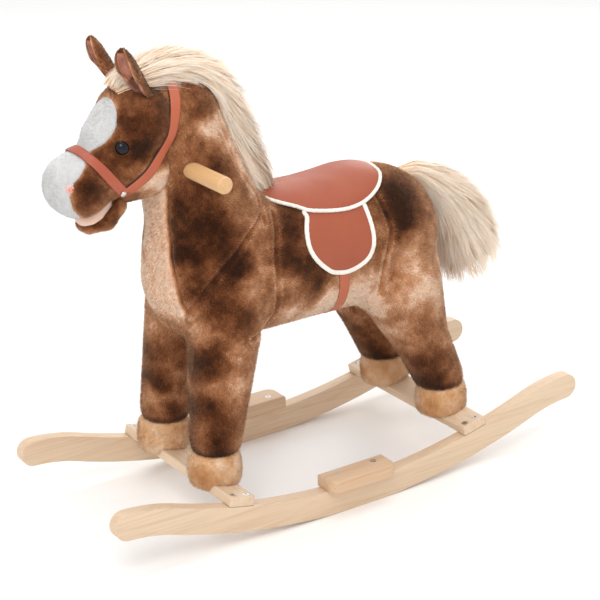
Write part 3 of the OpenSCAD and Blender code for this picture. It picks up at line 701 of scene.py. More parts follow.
def plank(name, low, high, material, corner=13.0):
    """A footrest: a short board with round corners on its outer side and eased edges."""
    outer = 1 if high[0] > 0 else -1
    x_in, x_out = (low[0], high[0]) if outer > 0 else (high[0], low[0])
    corners = []
    for y, turn in ((low[1], -1), (high[1], 1)):
        centre = np.array([x_out - outer * corner, y - turn * corner])
        arc = np.linspace(0, math.pi / 2, 9)
        part = [centre + corner * np.array([outer * math.cos(a), turn * math.sin(a)]) for a in arc]
        corners.append(part if turn > 0 else part[::-1])
    near = [np.array([x_in, high[1]]), np.array([x_in, low[1]])]
    outline = np.array(corners[0] + corners[1] + near)
    middle = outline.mean(0)
    size = np.ptp(outline, axis=0)
    bottom, top = low[2], high[2]
    profile = ((bottom, 2.2), (bottom + 0.7, 0.7), (bottom + 2.2, 0.0), (top - 3.0, 0.0), (top - 1.6, 0.5),
               (top - 0.5, 1.6), (top, 3.4))
    rings = []
    for z, inset in profile:
        ring = middle + (outline - middle) * (1 - 2 * inset / size)
        rings.append(np.column_stack([ring, np.full(len(ring), z)]))
    count = len(outline)
    faces = [tuple(range(count)), tuple(range((len(rings) - 1) * count, len(rings) * count))[::-1]]
    for k in range(len(rings) - 1):
        a, b = k * count, (k + 1) * count
        faces += [(a + i, b + i, b + (i + 1) % count, a + (i + 1) % count) for i in range(count)]
    piece = build(name + "_eased", np.concatenate(rings), faces, [material], slot="pine")
    face_outward(piece)
    piece.data.set_sharp_from_angle(angle=math.radians(50))
    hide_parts(name)


def repaint(name, material):
    """Puts a finish on a CAD part that stays as it is."""
    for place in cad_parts[name].material_slots:
        place.link = "OBJECT"
        place.material = material


def make_wood():
    along_y = wood_material("pine_along", 1, *PINE)
    across = wood_material("pine_across", 0, *PINE)
    upright = wood_material("frame_wood", 2, srgb(214, 180, 138), srgb(200, 162, 118), srgb(170, 126, 84))
    for name in ("rocker_left", "rocker_right"):
        rounded(name, 3.2, along_y)
    tread = wood_material("pine_tread", 1, srgb(214, 190, 162), srgb(206, 168, 132), srgb(196, 142, 104))
    for name in ("footrest_left", "footrest_right"):
        low, high = (np.array(c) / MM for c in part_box(name))
        plank(name, low + (0, 0, 1.2), high - (0, 0, 0.15), tread)
    for name in ("front_cross_board", "rear_cross_board"):
        rounded(name, 2.0, across)
    handle = wood_material("varnished_handle", 0, srgb(222, 182, 134), srgb(212, 166, 114),
                           srgb(194, 146, 96))
    varnish = handle.node_tree.nodes["Principled BSDF"].inputs
    varnish["Coat Weight"].default_value = 0.5
    varnish["Coat Roughness"].default_value = 0.18
    rounded("handle_dowel", 2.2, handle)
    for name in ("leg_post_front_left", "leg_post_front_right", "leg_post_rear_left", "leg_post_rear_right",
                 "neck_post"):
        repaint(name, upright)
    repaint("spine_board", along_y)


def metal_material(name, colour, roughness):
    material, tree, shader = new_material(name)
    wear = noise(tree, stretched(tree, (1, 1, 1)), 700.0, 3.0)
    tree.links.new(mixed(tree, wear, colour, darker(colour, 0.72)), shader.inputs["Base Color"])
    tree.links.new(math_node(tree, "MULTIPLY_ADD", wear, 0.22, roughness - 0.1), shader.inputs["Roughness"])
    shader.inputs["Metallic"].default_value = 1.0
    return material


def plastic_material(name, colour, roughness=0.45):
    material, tree, shader = new_material(name)
    grit = noise(tree, stretched(tree, (1, 1, 1)), 1500.0, 2.0)
    tree.links.new(mixed(tree, grit, colour, darker(colour, 0.8)), shader.inputs["Base Color"])
    shader.inputs["Roughness"].default_value = roughness
    bump(tree, shader, grit, 0.15, 0.0002)
    return material


def make_fittings():
    zinc = metal_material("zinc_plate", srgb(205, 205, 200), 0.38)
    dark = plastic_material("dark_plastic", srgb(38, 38, 40))
    for name in ("cross_board_screws", "footrest_screws", "frame_screws"):
        repaint(name, zinc)
    for name in ("sound_box", "speaker", "power_switch", "jaw_motor", "tail_motor", "battery_lid"):
        repaint(name, dark)
    repaint("batteries", metal_material("battery_jacket", srgb(150, 120, 62), 0.4))


# ---------- the plush coat ----------

# Belly recess round the battery lid: half its width, the middle and half of its length, and its roof
RECESS_X, RECESS_MIDDLE, RECESS_Y, RECESS_TOP = 33, 69, 36, 257
LEG_END = 107

def torso_parts(p):
    """Barrel, neck, front leg and hind leg, each on its own and both sides alike."""
    q = mirrored(p)
    return (cone(q, (0, -138, 330), 92, (0, 115, 330), 92),
            cone(q, (0, -144, 395), 76, (0, -184, 552), 56),
            cone(q, (66, -183, 125), 33, (52, -152, 290), 50),
            np.minimum(cone(q, (67, 183, 118), 33, (63, 152, 188), 38),
                       cone(q, (63, 152, 188), 38.5, (54, 124, 268), 58)))

def torso(p):
    """Barrel, neck and legs as one sewn skin with its recess, before its seams are drawn in."""
    body, neck, front, rear = torso_parts(p)
    skin = soft_min(soft_min(soft_min(body, neck, 30), front, 14), rear, 22)
    walls = np.maximum(np.abs(p[:, 0]) - RECESS_X, np.abs(p[:, 1] - RECESS_MIDDLE) - RECESS_Y)
    recess = np.maximum(walls, p[:, 2] - RECESS_TOP)
    return soft_max(soft_max(skin, -recess, 4), LEG_END - p[:, 2], 5)


# Seam lines: the chest panel's edge in x and z, and the side panels' edges in y and z
CHEST_SEAM = ((36, 470), (31, 440), (29, 411), (36, 372), (47, 334), (53, 300))
SIDE_SEAMS = (
    ((-209, 302), (-191, 338), (-172, 361), (-133, 395), (-100, 414), (-97, 423)),
    ((-76, 409), (-94, 363), (-96, 339), (-93, 284), (-101, 263), (-142, 265)),
    ((-145, 550), (-137, 521), (-125, 482), (-106, 454), (-93, 439), (-97, 405)),
    ((84, 420), (88, 360), (74, 318), (72, 270)),
)


def seam_distance(p):
    """How far each point of the torso is from the nearest panel seam."""
    x, y, z = np.abs(p[:, 0]), p[:, 1], p[:, 2]
    side = np.where(x > 22, 0, 50)
    near = np.full(len(p), 99.0)
    yz = p[:, 1:]
    for path in SIDE_SEAMS:
        near = np.minimum(near, path_distance(yz, path) + side)
    chest = path_distance(np.stack([x, z], 1), CHEST_SEAM) + np.where(y < -175, 0, 60)
    belly = np.abs(x - 30) + np.where((z < 262) & (np.abs(y) < 110), 0, 60)
    return np.minimum(np.minimum(near, chest), belly)


def torso_sewn(p):
    return torso(p) + 2.0 * np.exp(-(seam_distance(p) / 2.8) ** 2)


# y, z, radius and strength of the darker (-) and lighter (+) patches; 1 is only the left side, -1 the right
PATCHES = (
    (-175, 567, 17, -0.30, 0), (-184, 526, 14, -0.16, 0), (-163, 492, 18, -0.30, 0),
    (-192, 449, 30, -0.36, 0), (-184, 404, 30, -0.30, 0), (-204, 375, 20, -0.24, 0),
    (-158, 416, 22, -0.22, 0), (-152, 452, 16, 0.16, 0), (-186, 340, 28, -0.34, 0),
    (-150, 372, 26, -0.24, 0), (-166, 545, 17, 0.52, 0), (-137, 545, 15, 0.26, 0), (-128, 516, 15, 0.30, 0),
    (-116, 480, 15, 0.30, 0), (-106, 450, 14, 0.26, 0), (-200, 128, 22, -0.24, 1),
    (-151, 368, 20, -0.26, 1), (-155, 298, 24, -0.34, 1), (-190, 256, 22, -0.34, 1),
    (-201, 229, 18, -0.26, 1), (-203, 177, 22, -0.40, 1), (-196, 130, 20, -0.34, 1),
    (-135, 333, 16, 0.24, 1), (-166, 254, 15, 0.22, 1), (-198, 205, 13, 0.24, 1), (-165, 200, 18, 0.20, 1),
    (-201, 272, 14, 0.26, 1), (-189, 227, 22, -0.36, -1), (-196, 180, 22, -0.42, -1),
    (-196, 130, 22, -0.36, -1), (-202, 250, 14, 0.20, -1), (-52, 395, 22, -0.34, 0),
    (-73, 363, 22, -0.34, 0), (-45, 330, 26, -0.34, 0), (-46, 294, 22, -0.26, 0), (-66, 273, 18, 0.34, 0),
    (-10, 268, 24, 0.34, 0), (-66, 325, 10, 0.18, 0), (-5, 285, 20, 0.26, 0), (40, 275, 26, 0.30, 0),
    (107, 385, 26, -0.40, 0), (105, 360, 22, -0.40, 0), (107, 410, 18, -0.26, 0), (138, 392, 24, -0.32, 0),
    (78, 397, 16, -0.26, 0), (93, 330, 22, 0.18, 0), (117, 298, 26, 0.34, 0), (70, 251, 24, 0.34, 0),
    (107, 211, 18, 0.26, 0), (150, 336, 22, 0.14, 0), (132, 236, 20, -0.18, 0), (124, 298, 30, -0.12, 0),
    (136, 166, 22, -0.30, 0), (155, 125, 22, -0.40, 0), (180, 300, 26, 0.16, 0), (150, 262, 34, 0.18, 0),
    (120, 262, 24, 0.18, 0), (-20, 245, 60, 0.16, 0),
)


def coat_tone(p):
    """Brushed-nap shade from 0, dark brown, to 1, pale tan, with a painted shade ring just above the hoofs.
    """
    drift = np.stack([layered_noise(p, 42, s) for s in (11, 21, 31)], 1)
    far = (p[:, :1] < 0) * np.array([[0, 26.0, 14.0]])
    q = p + 7 * drift + far * np.sin(p[:, 2:3] / 37 + p[:, 1:2] / 51)
    tone = 0.63 + 0.15 * layered_noise(p, 30, 41) + 0.09 * layered_noise(p, 9, 51)
    # Painted shade: a dark ring on the leg just above the hoof cuff, where the two meet
    tone = tone - 0.32 * np.exp(-((p[:, 2] - 112) / 6) ** 2)
    for y, z, radius, strength, side in PATCHES:
        weight = np.exp(-((q[:, 1] - y) ** 2 + (q[:, 2] - z) ** 2) / radius ** 2)
        if side:
            weight = weight * (p[:, 0] * side > 8)
        tone = tone + 1.12 * strength * weight
    strip = np.interp(p[:, 2], (285, 304, 334, 372, 411, 457), (46, 49, 44, 34, 27, 33))
    chest = 1 / (1 + np.exp((np.abs(p[:, 0]) - strip) * 1.2)) * np.clip((p[:, 2] - 276) / 22, 0, 1)
    chest = chest * (p[:, 1] < -185) * (p[:, 2] < 480)
    return np.clip(tone * (1 - chest) + chest * (1.0 + 0.08 * layered_noise(p, 4, 61)), 0, 1)


COAT_STOPS = ((0.0, srgb(48, 21, 7)), (0.23, srgb(94, 50, 25)), (0.47, srgb(144, 89, 54)),
              (0.72, srgb(200, 143, 103)), (0.88, srgb(232, 188, 154)), (1.0, srgb(255, 233, 213)))
CREAM_STOPS = ((0.0, srgb(196, 134, 82)), (0.5, srgb(220, 170, 122)), (1.0, srgb(242, 214, 184)))
HAIR_SHADES = ((232, 184, 140), (242, 206, 170), (247, 220, 192), (249, 228, 204),
               (252, 238, 220), (254, 246, 236))


def shade_set(name, stops, count, roughness=0.9, sheen=0.42, tint=(1.0, 0.68, 0.44, 1)):
    """Single-shade materials along a run of colours, for hairs."""
    places = [s[0] for s in stops]
    made = []
    for i in range(count):
        t = i / (count - 1)
        colour = [float(np.interp(t, places, [s[1][c] for s in stops])) for c in range(3)] + [1]
        made.append(simple_material("%s_%d" % (name, i), colour, roughness, Sheen_Roughness=0.5,
                                    Sheen_Weight=sheen * (0.5 + 0.5 * t), Sheen_Tint=tint,
                                    Specular_IOR_Level=0.12))
    return made


def shade_numbers(value, shades):
    """The number of the shade nearest to each value from 0 to 1."""
    return np.clip(np.round(value * (len(shades) - 1)), 0, len(shades) - 1).astype(int)

def nap_flow(p, normals):
    """Direction in which the pile lies: back along the barrel, down the legs and neck."""
    y, z = p[:, 1], p[:, 2]
    down = np.clip((300 - z) / 90, 0, 1) + np.clip((z - 415) / 60, 0, 1)
    want = np.stack([0 * y, 1 - 0.8 * np.clip(down, 0, 1), -0.45 - np.clip(down, 0, 1)], 1)
    want = want + 0.5 * np.stack([lattice_noise(p, 26, s) for s in (71, 72, 73)], 1)
    return unit(flattened(want, normals))


def coat_pile(name, points, quads, field, shades, density, length, seed, tone=coat_tone, flow=nap_flow,
              seams=None, slot="brown_plush", body=HORSE, upright=0.62):
    rng = np.random.default_rng(seed)
    roots = scatter(points, quads, density, rng)
    normals = unit(gradient(torso if field is torso_sewn else field, roots))
    short = np.ones(len(roots))
    if seams is not None:
        near = seams(roots)
        short = 0.45 + 0.55 * np.clip(near / 6, 0, 1)
    value = tone(roots) + rng.normal(0, 0.075, len(roots))
    # Painted shade: the pile is darkened in each seam's groove, and a band just beside the seam is made
    # lighter
    if seams is not None:
        value = value - 0.50 * np.exp(-(near / 1.7) ** 2) + 0.17 * np.exp(-((near - 5.5) / 2.2) ** 2)
    index = shade_numbers(value, shades)
    lengths = length * short * rng.uniform(0.75, 1.2, len(roots))
    return pile(name, roots, normals, flow(roots, normals), lengths, 0.62, index, shades, rng, upright,
                slot=slot, body=body)


def make_torso(brown, shades):
    step = 2.8
    points, quads = net(torso_sewn, (-128, -245, 100), (128, 228, 616), step)
    middles = points[quads].mean(1)
    label = np.stack(torso_parts(middles)).argmin(0)
    left = middles[:, 0] > 0
    groups = {
        "body_skin": ((label == 0), ("body_plush",)),
        "neck_skin": ((label == 1), ("neck_plush",)),
        "leg_skin_front_left": ((label == 2) & left, ("leg_front_left",)),
        "leg_skin_front_right": ((label == 2) & ~left, ("leg_front_right",)),
        "leg_skin_rear_left": ((label == 3) & left, ("leg_rear_left",)),
        "leg_skin_rear_right": ((label == 3) & ~left, ("leg_rear_right",)),
    }
    x, y, z = np.abs(middles[:, 0]), np.abs(middles[:, 1] - RECESS_MIDDLE), middles[:, 2]
    roof = (x <= RECESS_X - 2) & (y <= RECESS_Y - 2) & (z >= RECESS_TOP - 6) & (z <= RECESS_TOP + 5)
    for seed, (name, (chosen, nodes)) in enumerate(groups.items()):
        part, faces, _ = split_off(points, quads, chosen & ~roof)
        piece = build(name, part, faces, [brown], slot="brown_plush", tone=coat_tone(part) - 0.12)
        shade_by(piece, unit(gradient(torso_sewn, part)))
        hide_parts(*nodes)
        covered = part[faces].mean(1)
        under_saddle = (covered[:, 2] > 408) & (covered[:, 1] > -56) & (covered[:, 1] < 100)
        inside_head = cone(covered, (0, -239, 552), 50, (0, -328, 480), 37) < -4
        coat_pile(name + "_pile", part, faces[~under_saddle & ~inside_head], torso_sewn, shades, 0.95, 3.6,
                  100 + seed, seams=seam_distance)


def make_hoofs(cream, shades):
    corners = (("front_left", 1), ("front_right", -1), ("rear_left", 1), ("rear_right", -1))
    for seed, (name, sx) in enumerate(corners):
        low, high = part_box("hoof_" + name)
        cx, cy = ((low[i] + high[i]) / 2 / MM for i in (0, 1))

        def cuff(p, cx=cx, cy=cy):
            q = p - (cx, cy, 0)
            r = np.hypot(q[:, 0], q[:, 1])
            t = np.clip((q[:, 2] - 58) / 52, 0, 1)
            wall = r - (31.5 + 4.2 * np.sin(math.pi * np.clip(t, 0, 1)) + 0.8 * lattice_noise(p, 16, 5))
            return soft_max(soft_max(wall, 62.4 - q[:, 2], 8), q[:, 2] - 110, 9)
        points, quads = net(cuff, (cx - 40, cy - 40, 58), (cx + 40, cy + 40, 116), 2.4)
        warm = np.array([cx + 16 * sx, cy - 22, 84])
        tone = lambda p, warm=warm: np.clip(0.64 + 0.24 * layered_noise(p, 14, 9) - 0.46 * np.exp(
            -(((p - warm) / (24, 24, 15)) ** 2).sum(1)), 0, 1)
        piece = build("hoof_cuff_" + name, points, quads, [cream], slot="hoof_plush", tone=tone(points))
        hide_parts("hoof_" + name)
        down = lambda p, n: unit(np.array([[0, 0, -1.0]]) - n * -n[:, 2:3] + 1e-6)
        shown = quads[(points[quads].mean(1)[:, 2] > 64)]
        coat_pile("hoof_pile_" + name, points, shown, cuff, shades, 0.9, 3.4, 200 + seed, tone=tone,
                  flow=down, slot="hoof_plush")


# ---------- head ----------

# The line between the white muzzle and the brown cheek, as z and y
NOSE_LINE_Z = (430, 453, 466, 483, 493, 500, 517, 527, 541, 558, 588, 606)
NOSE_LINE_Y = (-316, -338, -349, -353, -350, -346, -325, -314, -297, -282, -273, -266)


def white_side(p):
    """Above 0 in front of the line where the brown cheek meets the white blaze and muzzle."""
    return np.interp(p[:, 2], NOSE_LINE_Z, NOSE_LINE_Y) - p[:, 1]


def turned(p, pivot, angle):
    """Points in a frame turned about +X at a pivot: its own y and z."""
    y, z = p[:, 1] - pivot[1], p[:, 2] - pivot[2]
    c, s = math.cos(angle), math.sin(angle)
    return y * c + z * s, -y * s + z * c


JAW_PIVOT = (0, -286, 452)
JAW_TURN = math.radians(24)


def head(p):
    q = mirrored(p)
    crown = cone(q * (0.87, 1, 1), (0, -239, 552), 50, (0, -278, 532), 34.5)
    bridge = cone(q, (0, -258, 508), 46, (0, -322, 486), 37.5)
    cheek = cone(q, (0, -236, 498), 46, (0, -300, 488), 37)
    cheek = soft_min(cheek, bridge, 8)
    nose = cone(q, (5, -322, 487), 38.5, (6, -326, 484), 39.5)
    skin = soft_min(soft_min(crown, cheek, 10), nose, 5)
    lobe = ball(q, (15, -322, 474), 25)
    skin = soft_min(skin, lobe, 8)
    y, z = turned(p, JAW_PIVOT, JAW_TURN)
    mouth = soft_max(z - 15.5, y - 12, 6)
    skin = soft_max(skin, -mouth, 5)
    line = np.abs(white_side(p)) / 1.35
    ear_seam = path_distance(p[:, 1:], ((-249, 598), (-251, 593), (-264, 581), (-277, 568), (-284, 552)))
    return skin + 1.3 * np.exp(-(line / 1.6) ** 2) + 1.8 * np.exp(-(ear_seam / 2.2) ** 2) * (q[:, 0] > 18)


# y, z, radius and strength, as in PATCHES
HEAD_PATCHES = (
    (-262, 545, 22, -0.30), (-255, 525, 20, -0.26), (-292, 520, 14, -0.10), (-330, 492, 15, -0.36),
    (-268, 500, 15, 0.10), (-250, 500, 12, 0.34), (-245, 480, 14, 0.44), (-262, 478, 12, 0.34),
    (-222, 488, 16, 0.44), (-226, 466, 16, 0.44), (-300, 480, 11, 0.16), (-318, 462, 12, 0.14),
    (-236, 560, 20, -0.14), (-225, 590, 14, -0.16), (-270, 565, 14, -0.26), (-238, 520, 10, 0.20),
    (-214, 540, 14, -0.10),
)


def head_tone(p):
    q = p + 5 * np.stack([layered_noise(p, 30, s) for s in (15, 25, 35)], 1)
    tone = 0.47 + 0.14 * layered_noise(p, 22, 45) + 0.07 * layered_noise(p, 7, 55)
    for y, z, radius, strength in HEAD_PATCHES:
        tone = tone + strength * np.exp(-((q[:, 1] - y) ** 2 + (q[:, 2] - z) ** 2) / radius ** 2)
    return np.clip(tone + 0.3 * np.exp(-(white_side(p) / 2.6) ** 2), 0, 1)


def head_flow(p, normals):
    want = np.stack([0 * p[:, 0], 0.7 + 0 * p[:, 0], -0.5 + 0 * p[:, 0]], 1)
    want = want + 0.5 * np.stack([lattice_noise(p, 20, s) for s in (81, 82, 83)], 1)
    return unit(flattened(want, normals))


def make_head(brown, white, shades, white_shades):
    points, quads = net(head, (-58, -376, 440), (58, -182, 612), 2.1, rounds=3)
    edge = white_side(points)
    slope = np.stack([(white_side(points + d) - edge) / 0.5 for d in np.eye(3) * 0.5], 1)
    normals = unit(gradient(head, points))
    slope = flattened(slope, normals)
    near = np.abs(edge) < 1.6
    shift = (edge / np.maximum((slope * slope).sum(1), 0.3))[:, None] * slope
    points = np.where(near[:, None] & (np.linalg.norm(shift, axis=1) < 2.4)[:, None], points - shift, points)
    normals = unit(gradient(head, points))
    middles = points[quads].mean(1)
    is_white = white_side(middles) > 0
    for name, chosen, material, node in (("head_skin", ~is_white, brown, "head_plush"),
                                         ("muzzle_skin", is_white, white, "muzzle_plush")):
        part, faces, used = split_off(points, quads, chosen)
        tone = head_tone(part) - 0.1 if material is brown else 0.62 + 0.12 * layered_noise(part, 18, 8)
        piece = build(name, part, faces, [material], tone=tone,
                      slot="brown_plush" if material is brown else "white_plush")
        shade_by(piece, normals[used])
        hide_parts(node)
        if material is brown:
            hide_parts("jaw_pin")
        if material is brown:
            coat_pile("head_pile", part, faces, head, shades, 1.1, 2.7, 301, tone=head_tone, flow=head_flow,
                      upright=0.6)
        else:
            coat_pile("muzzle_pile", part, faces, head, white_shades, 1.3, 1.9, 302, flow=head_flow,
                      upright=0.6, tone=lambda p: 0.55 + 0.25 * layered_noise(p, 12, 8), slot="white_plush")


def make_jaw(brown, shades, lining):
    def jaw(p):
        q = mirrored(p)
        y = q[:, 1]
        half = np.interp(y, (-330, -318, -300, -270), (4, 9, 13, 14))
        q[:, 0] = np.maximum(q[:, 0] - half, 0)
        back = cone(q, (0, -283, 454), 15.5, (0, -296, 437), 12.5)
        front = cone(q, (0, -296, 437), 12.5, (0, -317, 431.5), 10)
        skin = soft_min(back, front, 6)
        bowl = cone(q, (0, -300, 464), 15, (0, -326, 447), 13)
        return soft_max(skin, -bowl, 5)
    points, quads = net(jaw, (-38, -336, 414), (38, -262, 476), 1.9)

    def tone(p):
        chin = 0.40 * np.clip((434 - p[:, 2]) / 12, 0, 1)
        hinge = 0.25 * np.clip((p[:, 1] + 286) / 14, 0, 1)
        return np.clip(0.40 + 0.16 * layered_noise(p, 14, 77) + chin + hinge, 0, 1)
    piece = build("jaw_skin", points, quads, [brown], body="jaw", slot="brown_plush", tone=tone(points) - 0.1)
    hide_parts("jaw_plush")
    coat_pile("jaw_pile", points, quads, jaw, shades, 1.1, 2.5, 311, tone=tone, flow=head_flow, body="jaw")

    def gusset(p):
        q = mirrored(p)
        roof = turned(p, JAW_PIVOT, JAW_TURN)[1] - 18
        floor = -cone(mirrored(p) * (0, 1, 1), (0, -284, 446), 4, (0, -318, 431), 5)
        front = cone(q * (0.62, 1, 1), (0, -294, 456), 15, (0, -313, 441), 15.5)
        return soft_max(soft_max(front, roof, 3), np.maximum(floor, q[:, 0] - 23), 3)
    points, quads = net(gusset, (-30, -342, 420), (30, -268, 474), 1.8)
    piece = build("mouth_lining", points, quads, [lining], body=None, slot="lining")
    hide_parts("jaw_lining")
    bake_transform(piece)


def make_ears(brown, shades, velvet):
    for name, side in (("left", 1), ("right", -1)):
        foot = np.array([34.0 * side, -246.0, 589.0])
        tip = np.array([41.0 * side, -272.0, 656.0])
        axis = unit(tip - foot)
        height = np.linalg.norm(tip - foot)
        face = np.array([0.14 * side, -0.95, -0.35])
        face = unit(face - (face @ axis) * axis)
        across = np.cross(axis, face)

        def leaf(u, t, thick):
            """Point of the cupped ear: u from -1 to 1 across, t from 0 to 1 up, thick towards its back."""
            foot_round = 1 - 0.34 * u ** 2 * np.clip((0.24 - t) / 0.3, 0, 1)
            t = t + 0.42 * np.abs(u) ** 3 * (1 - t)
            half = 21 * (1 - np.clip((t - 0.35) / 0.66, 0, 1) ** 2.6) ** 0.5 * (0.86 + 0.14 * t) * foot_round
            bend = 1.25 * (1 - 0.3 * t)
            wide = np.sin(u * bend) / bend * half
            deep = (1 - np.cos(u * bend)) / bend * half * 1.25
            spot = foot + np.multiply.outer(t * height, axis) + np.multiply.outer(wide, across)
            return spot + np.multiply.outer(deep - thick, face) - np.multiply.outer(6 * (1 - t) ** 2, face)
        rows, columns = 17, 15
        t, u = np.meshgrid(np.linspace(-0.06, 1, rows), np.linspace(-1, 1, columns), indexing="ij")
        t, u = t.ravel(), u.ravel()
        plump = 7.0 * (1 - u ** 4) * np.clip(1 - t ** 6, 0, 1) + 1.2
        back, front = leaf(u, t, plump), leaf(u, t, 0.0)
        grid = np.arange(rows * columns).reshape(rows, columns)
        faces = [(grid[i, j], grid[i, j + 1], grid[i + 1, j + 1], grid[i + 1, j])
                 for i in range(rows - 1) for j in range(columns - 1)]
        n = rows * columns
        shell = faces + [tuple(v + n for v in f[::-1]) for f in faces]
        rim = list(grid[0]) + list(grid[1:, -1]) + list(grid[-1, -2::-1]) + list(grid[-2:0:-1, 0])
        for a, b in zip(rim, rim[1:] + rim[:1]):
            shell.append((b, a, a + n, b + n))
        points = np.concatenate([back, front])
        # Painted highlight: the shell is made lighter along its side edges, where the plush's rim catches the
        # light
        rim_highlight = 0.3 * (np.tile(np.abs(u), 2) > 0.86)
        tone = np.clip(0.34 + 0.2 * layered_noise(points, 12, 91) + rim_highlight, 0, 1)
        piece = build("ear_shell_" + name, points, shell, [brown], slot="brown_plush", tone=tone)
        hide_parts("ear_" + name)
        quads = np.array(faces)
        rng = np.random.default_rng(320 + side)
        roots = scatter(back, quads, 1.2, rng)
        normal = unit(np.repeat(-face[None], len(roots), 0) + 0.9 * unit(roots - (foot + tip) / 2))
        value = 0.36 + 0.2 * layered_noise(roots, 12, 91) + rng.normal(0, 0.08, len(roots))
        index = shade_numbers(value, shades)
        pile("ear_pile_" + name, roots, normal, np.repeat(axis[None], len(roots), 0),
             2.3 * rng.uniform(0.8, 1.2, len(roots)), 0.6, index, shades, rng, 0.6, slot="brown_plush")
        t2, u2 = np.meshgrid(np.linspace(0.02, 0.9, rows), np.linspace(-0.76, 0.76, columns), indexing="ij")
        t2, u2 = t2.ravel(), u2.ravel()
        fold = 2.6 * np.exp(-(u2 / 0.16) ** 2) * (1 - t2)
        inner = leaf(u2, t2, fold - 1.0 * (1 - u2 ** 4) - 0.9)
        under = leaf(u2, t2, fold + 0.9)
        # Painted shade: the velvet is darker down the middle of the cupped inner ear, most towards its foot
        hollow_shade = 0.5 * np.exp(-((u2 - 0.1) / 0.2) ** 2) * (1 - 0.7 * t2)
        tone = 0.42 - hollow_shade + 0.2 * layered_noise(inner, 8, 92)
        piece = build("ear_velvet_" + name, np.concatenate([under, inner]), shell, [velvet], slot="lining",
                      tone=np.tile(tone, 2))
        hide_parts("ear_lining_" + name)


def make_face():
    """Eyes, nostrils and the small button felt through the left ear."""
    pupil, tree, shader = new_material("eye_glass")
    depth = noise(tree, stretched(tree, (1, 1, 1)), 260.0, 2.0)
    iris = mixed(tree, depth, srgb(5, 6, 12), srgb(14, 16, 30))
    tree.links.new(iris, shader.inputs["Base Color"])
    shader.inputs["Roughness"].default_value = 0.08
    shader.inputs["Specular IOR Level"].default_value = 0.3
    socket_ring = metal_material("eye_ring", srgb(96, 62, 34), 0.5)
    pink = plush_material("nostril_pink", ((0.0, srgb(206, 120, 112)), (1.0, srgb(246, 198, 190))),
                          (1, 0.9, 0.9, 1), 0.2, 0.3)
    for name, side in (("left", 1), ("right", -1)):
        centre = np.array([44.0 * side, -282.0, 534.0])
        out = unit(np.array([0.96 * side, -0.2, 0.2]))
        spot = pull_to(head, centre[None], 3)[0] - out * 2.2
        dome = [(9.2 * math.cos(a), 8.0 * math.sin(a)) for a in np.linspace(0, 1.5, 14)]
        points, faces = lathe(spot, out, [(9.2, -2.0)] + dome, 56)
        piece = build("eye_glass_" + name, points, faces, [pupil], slot="eye")
        ring = [(10.1 + 1.3 * math.cos(a), 1.4 + 1.2 * math.sin(a)) for a in np.linspace(-2.6, 2.6, 14)]
        points, faces = lathe(spot, out, ring, 56)
        build("eye_rim_" + name, points, faces, [socket_ring], slot="eye")
        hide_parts("eye_" + name)
        nose = pull_to(head, np.array([[32.0 * side, -349.0, 492.0]]), 4)[0]
        outward = unit(gradient(head, nose[None]))[0]
        turns = 40
        profile = [(5.4, -1.2), (5.6, 0.1), (4.6, 1.0), (3.2, 1.2), (2.2, 0.6), (1.0, 0.9)]
        points, faces = lathe(nose, outward, profile, turns)
        waves = 0.55 * np.cos(np.arange(len(points)) % turns / turns * 2 * math.pi * 5)
        points = points + waves[:, None] * outward * (np.arange(len(points)) // turns > 0)[:, None]
        # Painted shade: the ring in the rosette's dip, between its raised edge and its middle, is made darker
        petal = build("nostril_rosette_" + name, points, faces, [pink], slot="nostril",
                      tone=0.7 - 0.5 * (np.arange(len(points)) // turns == 4))
        if side > 0:
            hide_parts("nostril_buttons")
    repaint("ear_button", plastic_material("button_felt", srgb(96, 54, 34), 0.9))


# ---------- mane, forelock and tail ----------

def hair_core(name, field, low, high, material, body=HORSE):
    points, quads = net(field, low, high, 4.0, rounds=2)
    tone = 0.5 + 0.25 * layered_noise(points * (1, 1, 0.35), 7, 19)
    return build(name, points, quads, [material], body=body, slot="long_fur", tone=tone)


# y and z down the neck of the mane's roots and of its outer edge
MANE_ROOT = ((-228, 600), (-205, 606), (-178, 606), (-152, 594), (-133, 566), (-121, 528), (-107, 492),
             (-88, 456), (-66, 431))
MANE_EDGE = ((-246, 628), (-216, 637), (-176, 637), (-136, 624), (-102, 598), (-78, 553), (-62, 510),
             (-50, 470), (-44, 440))


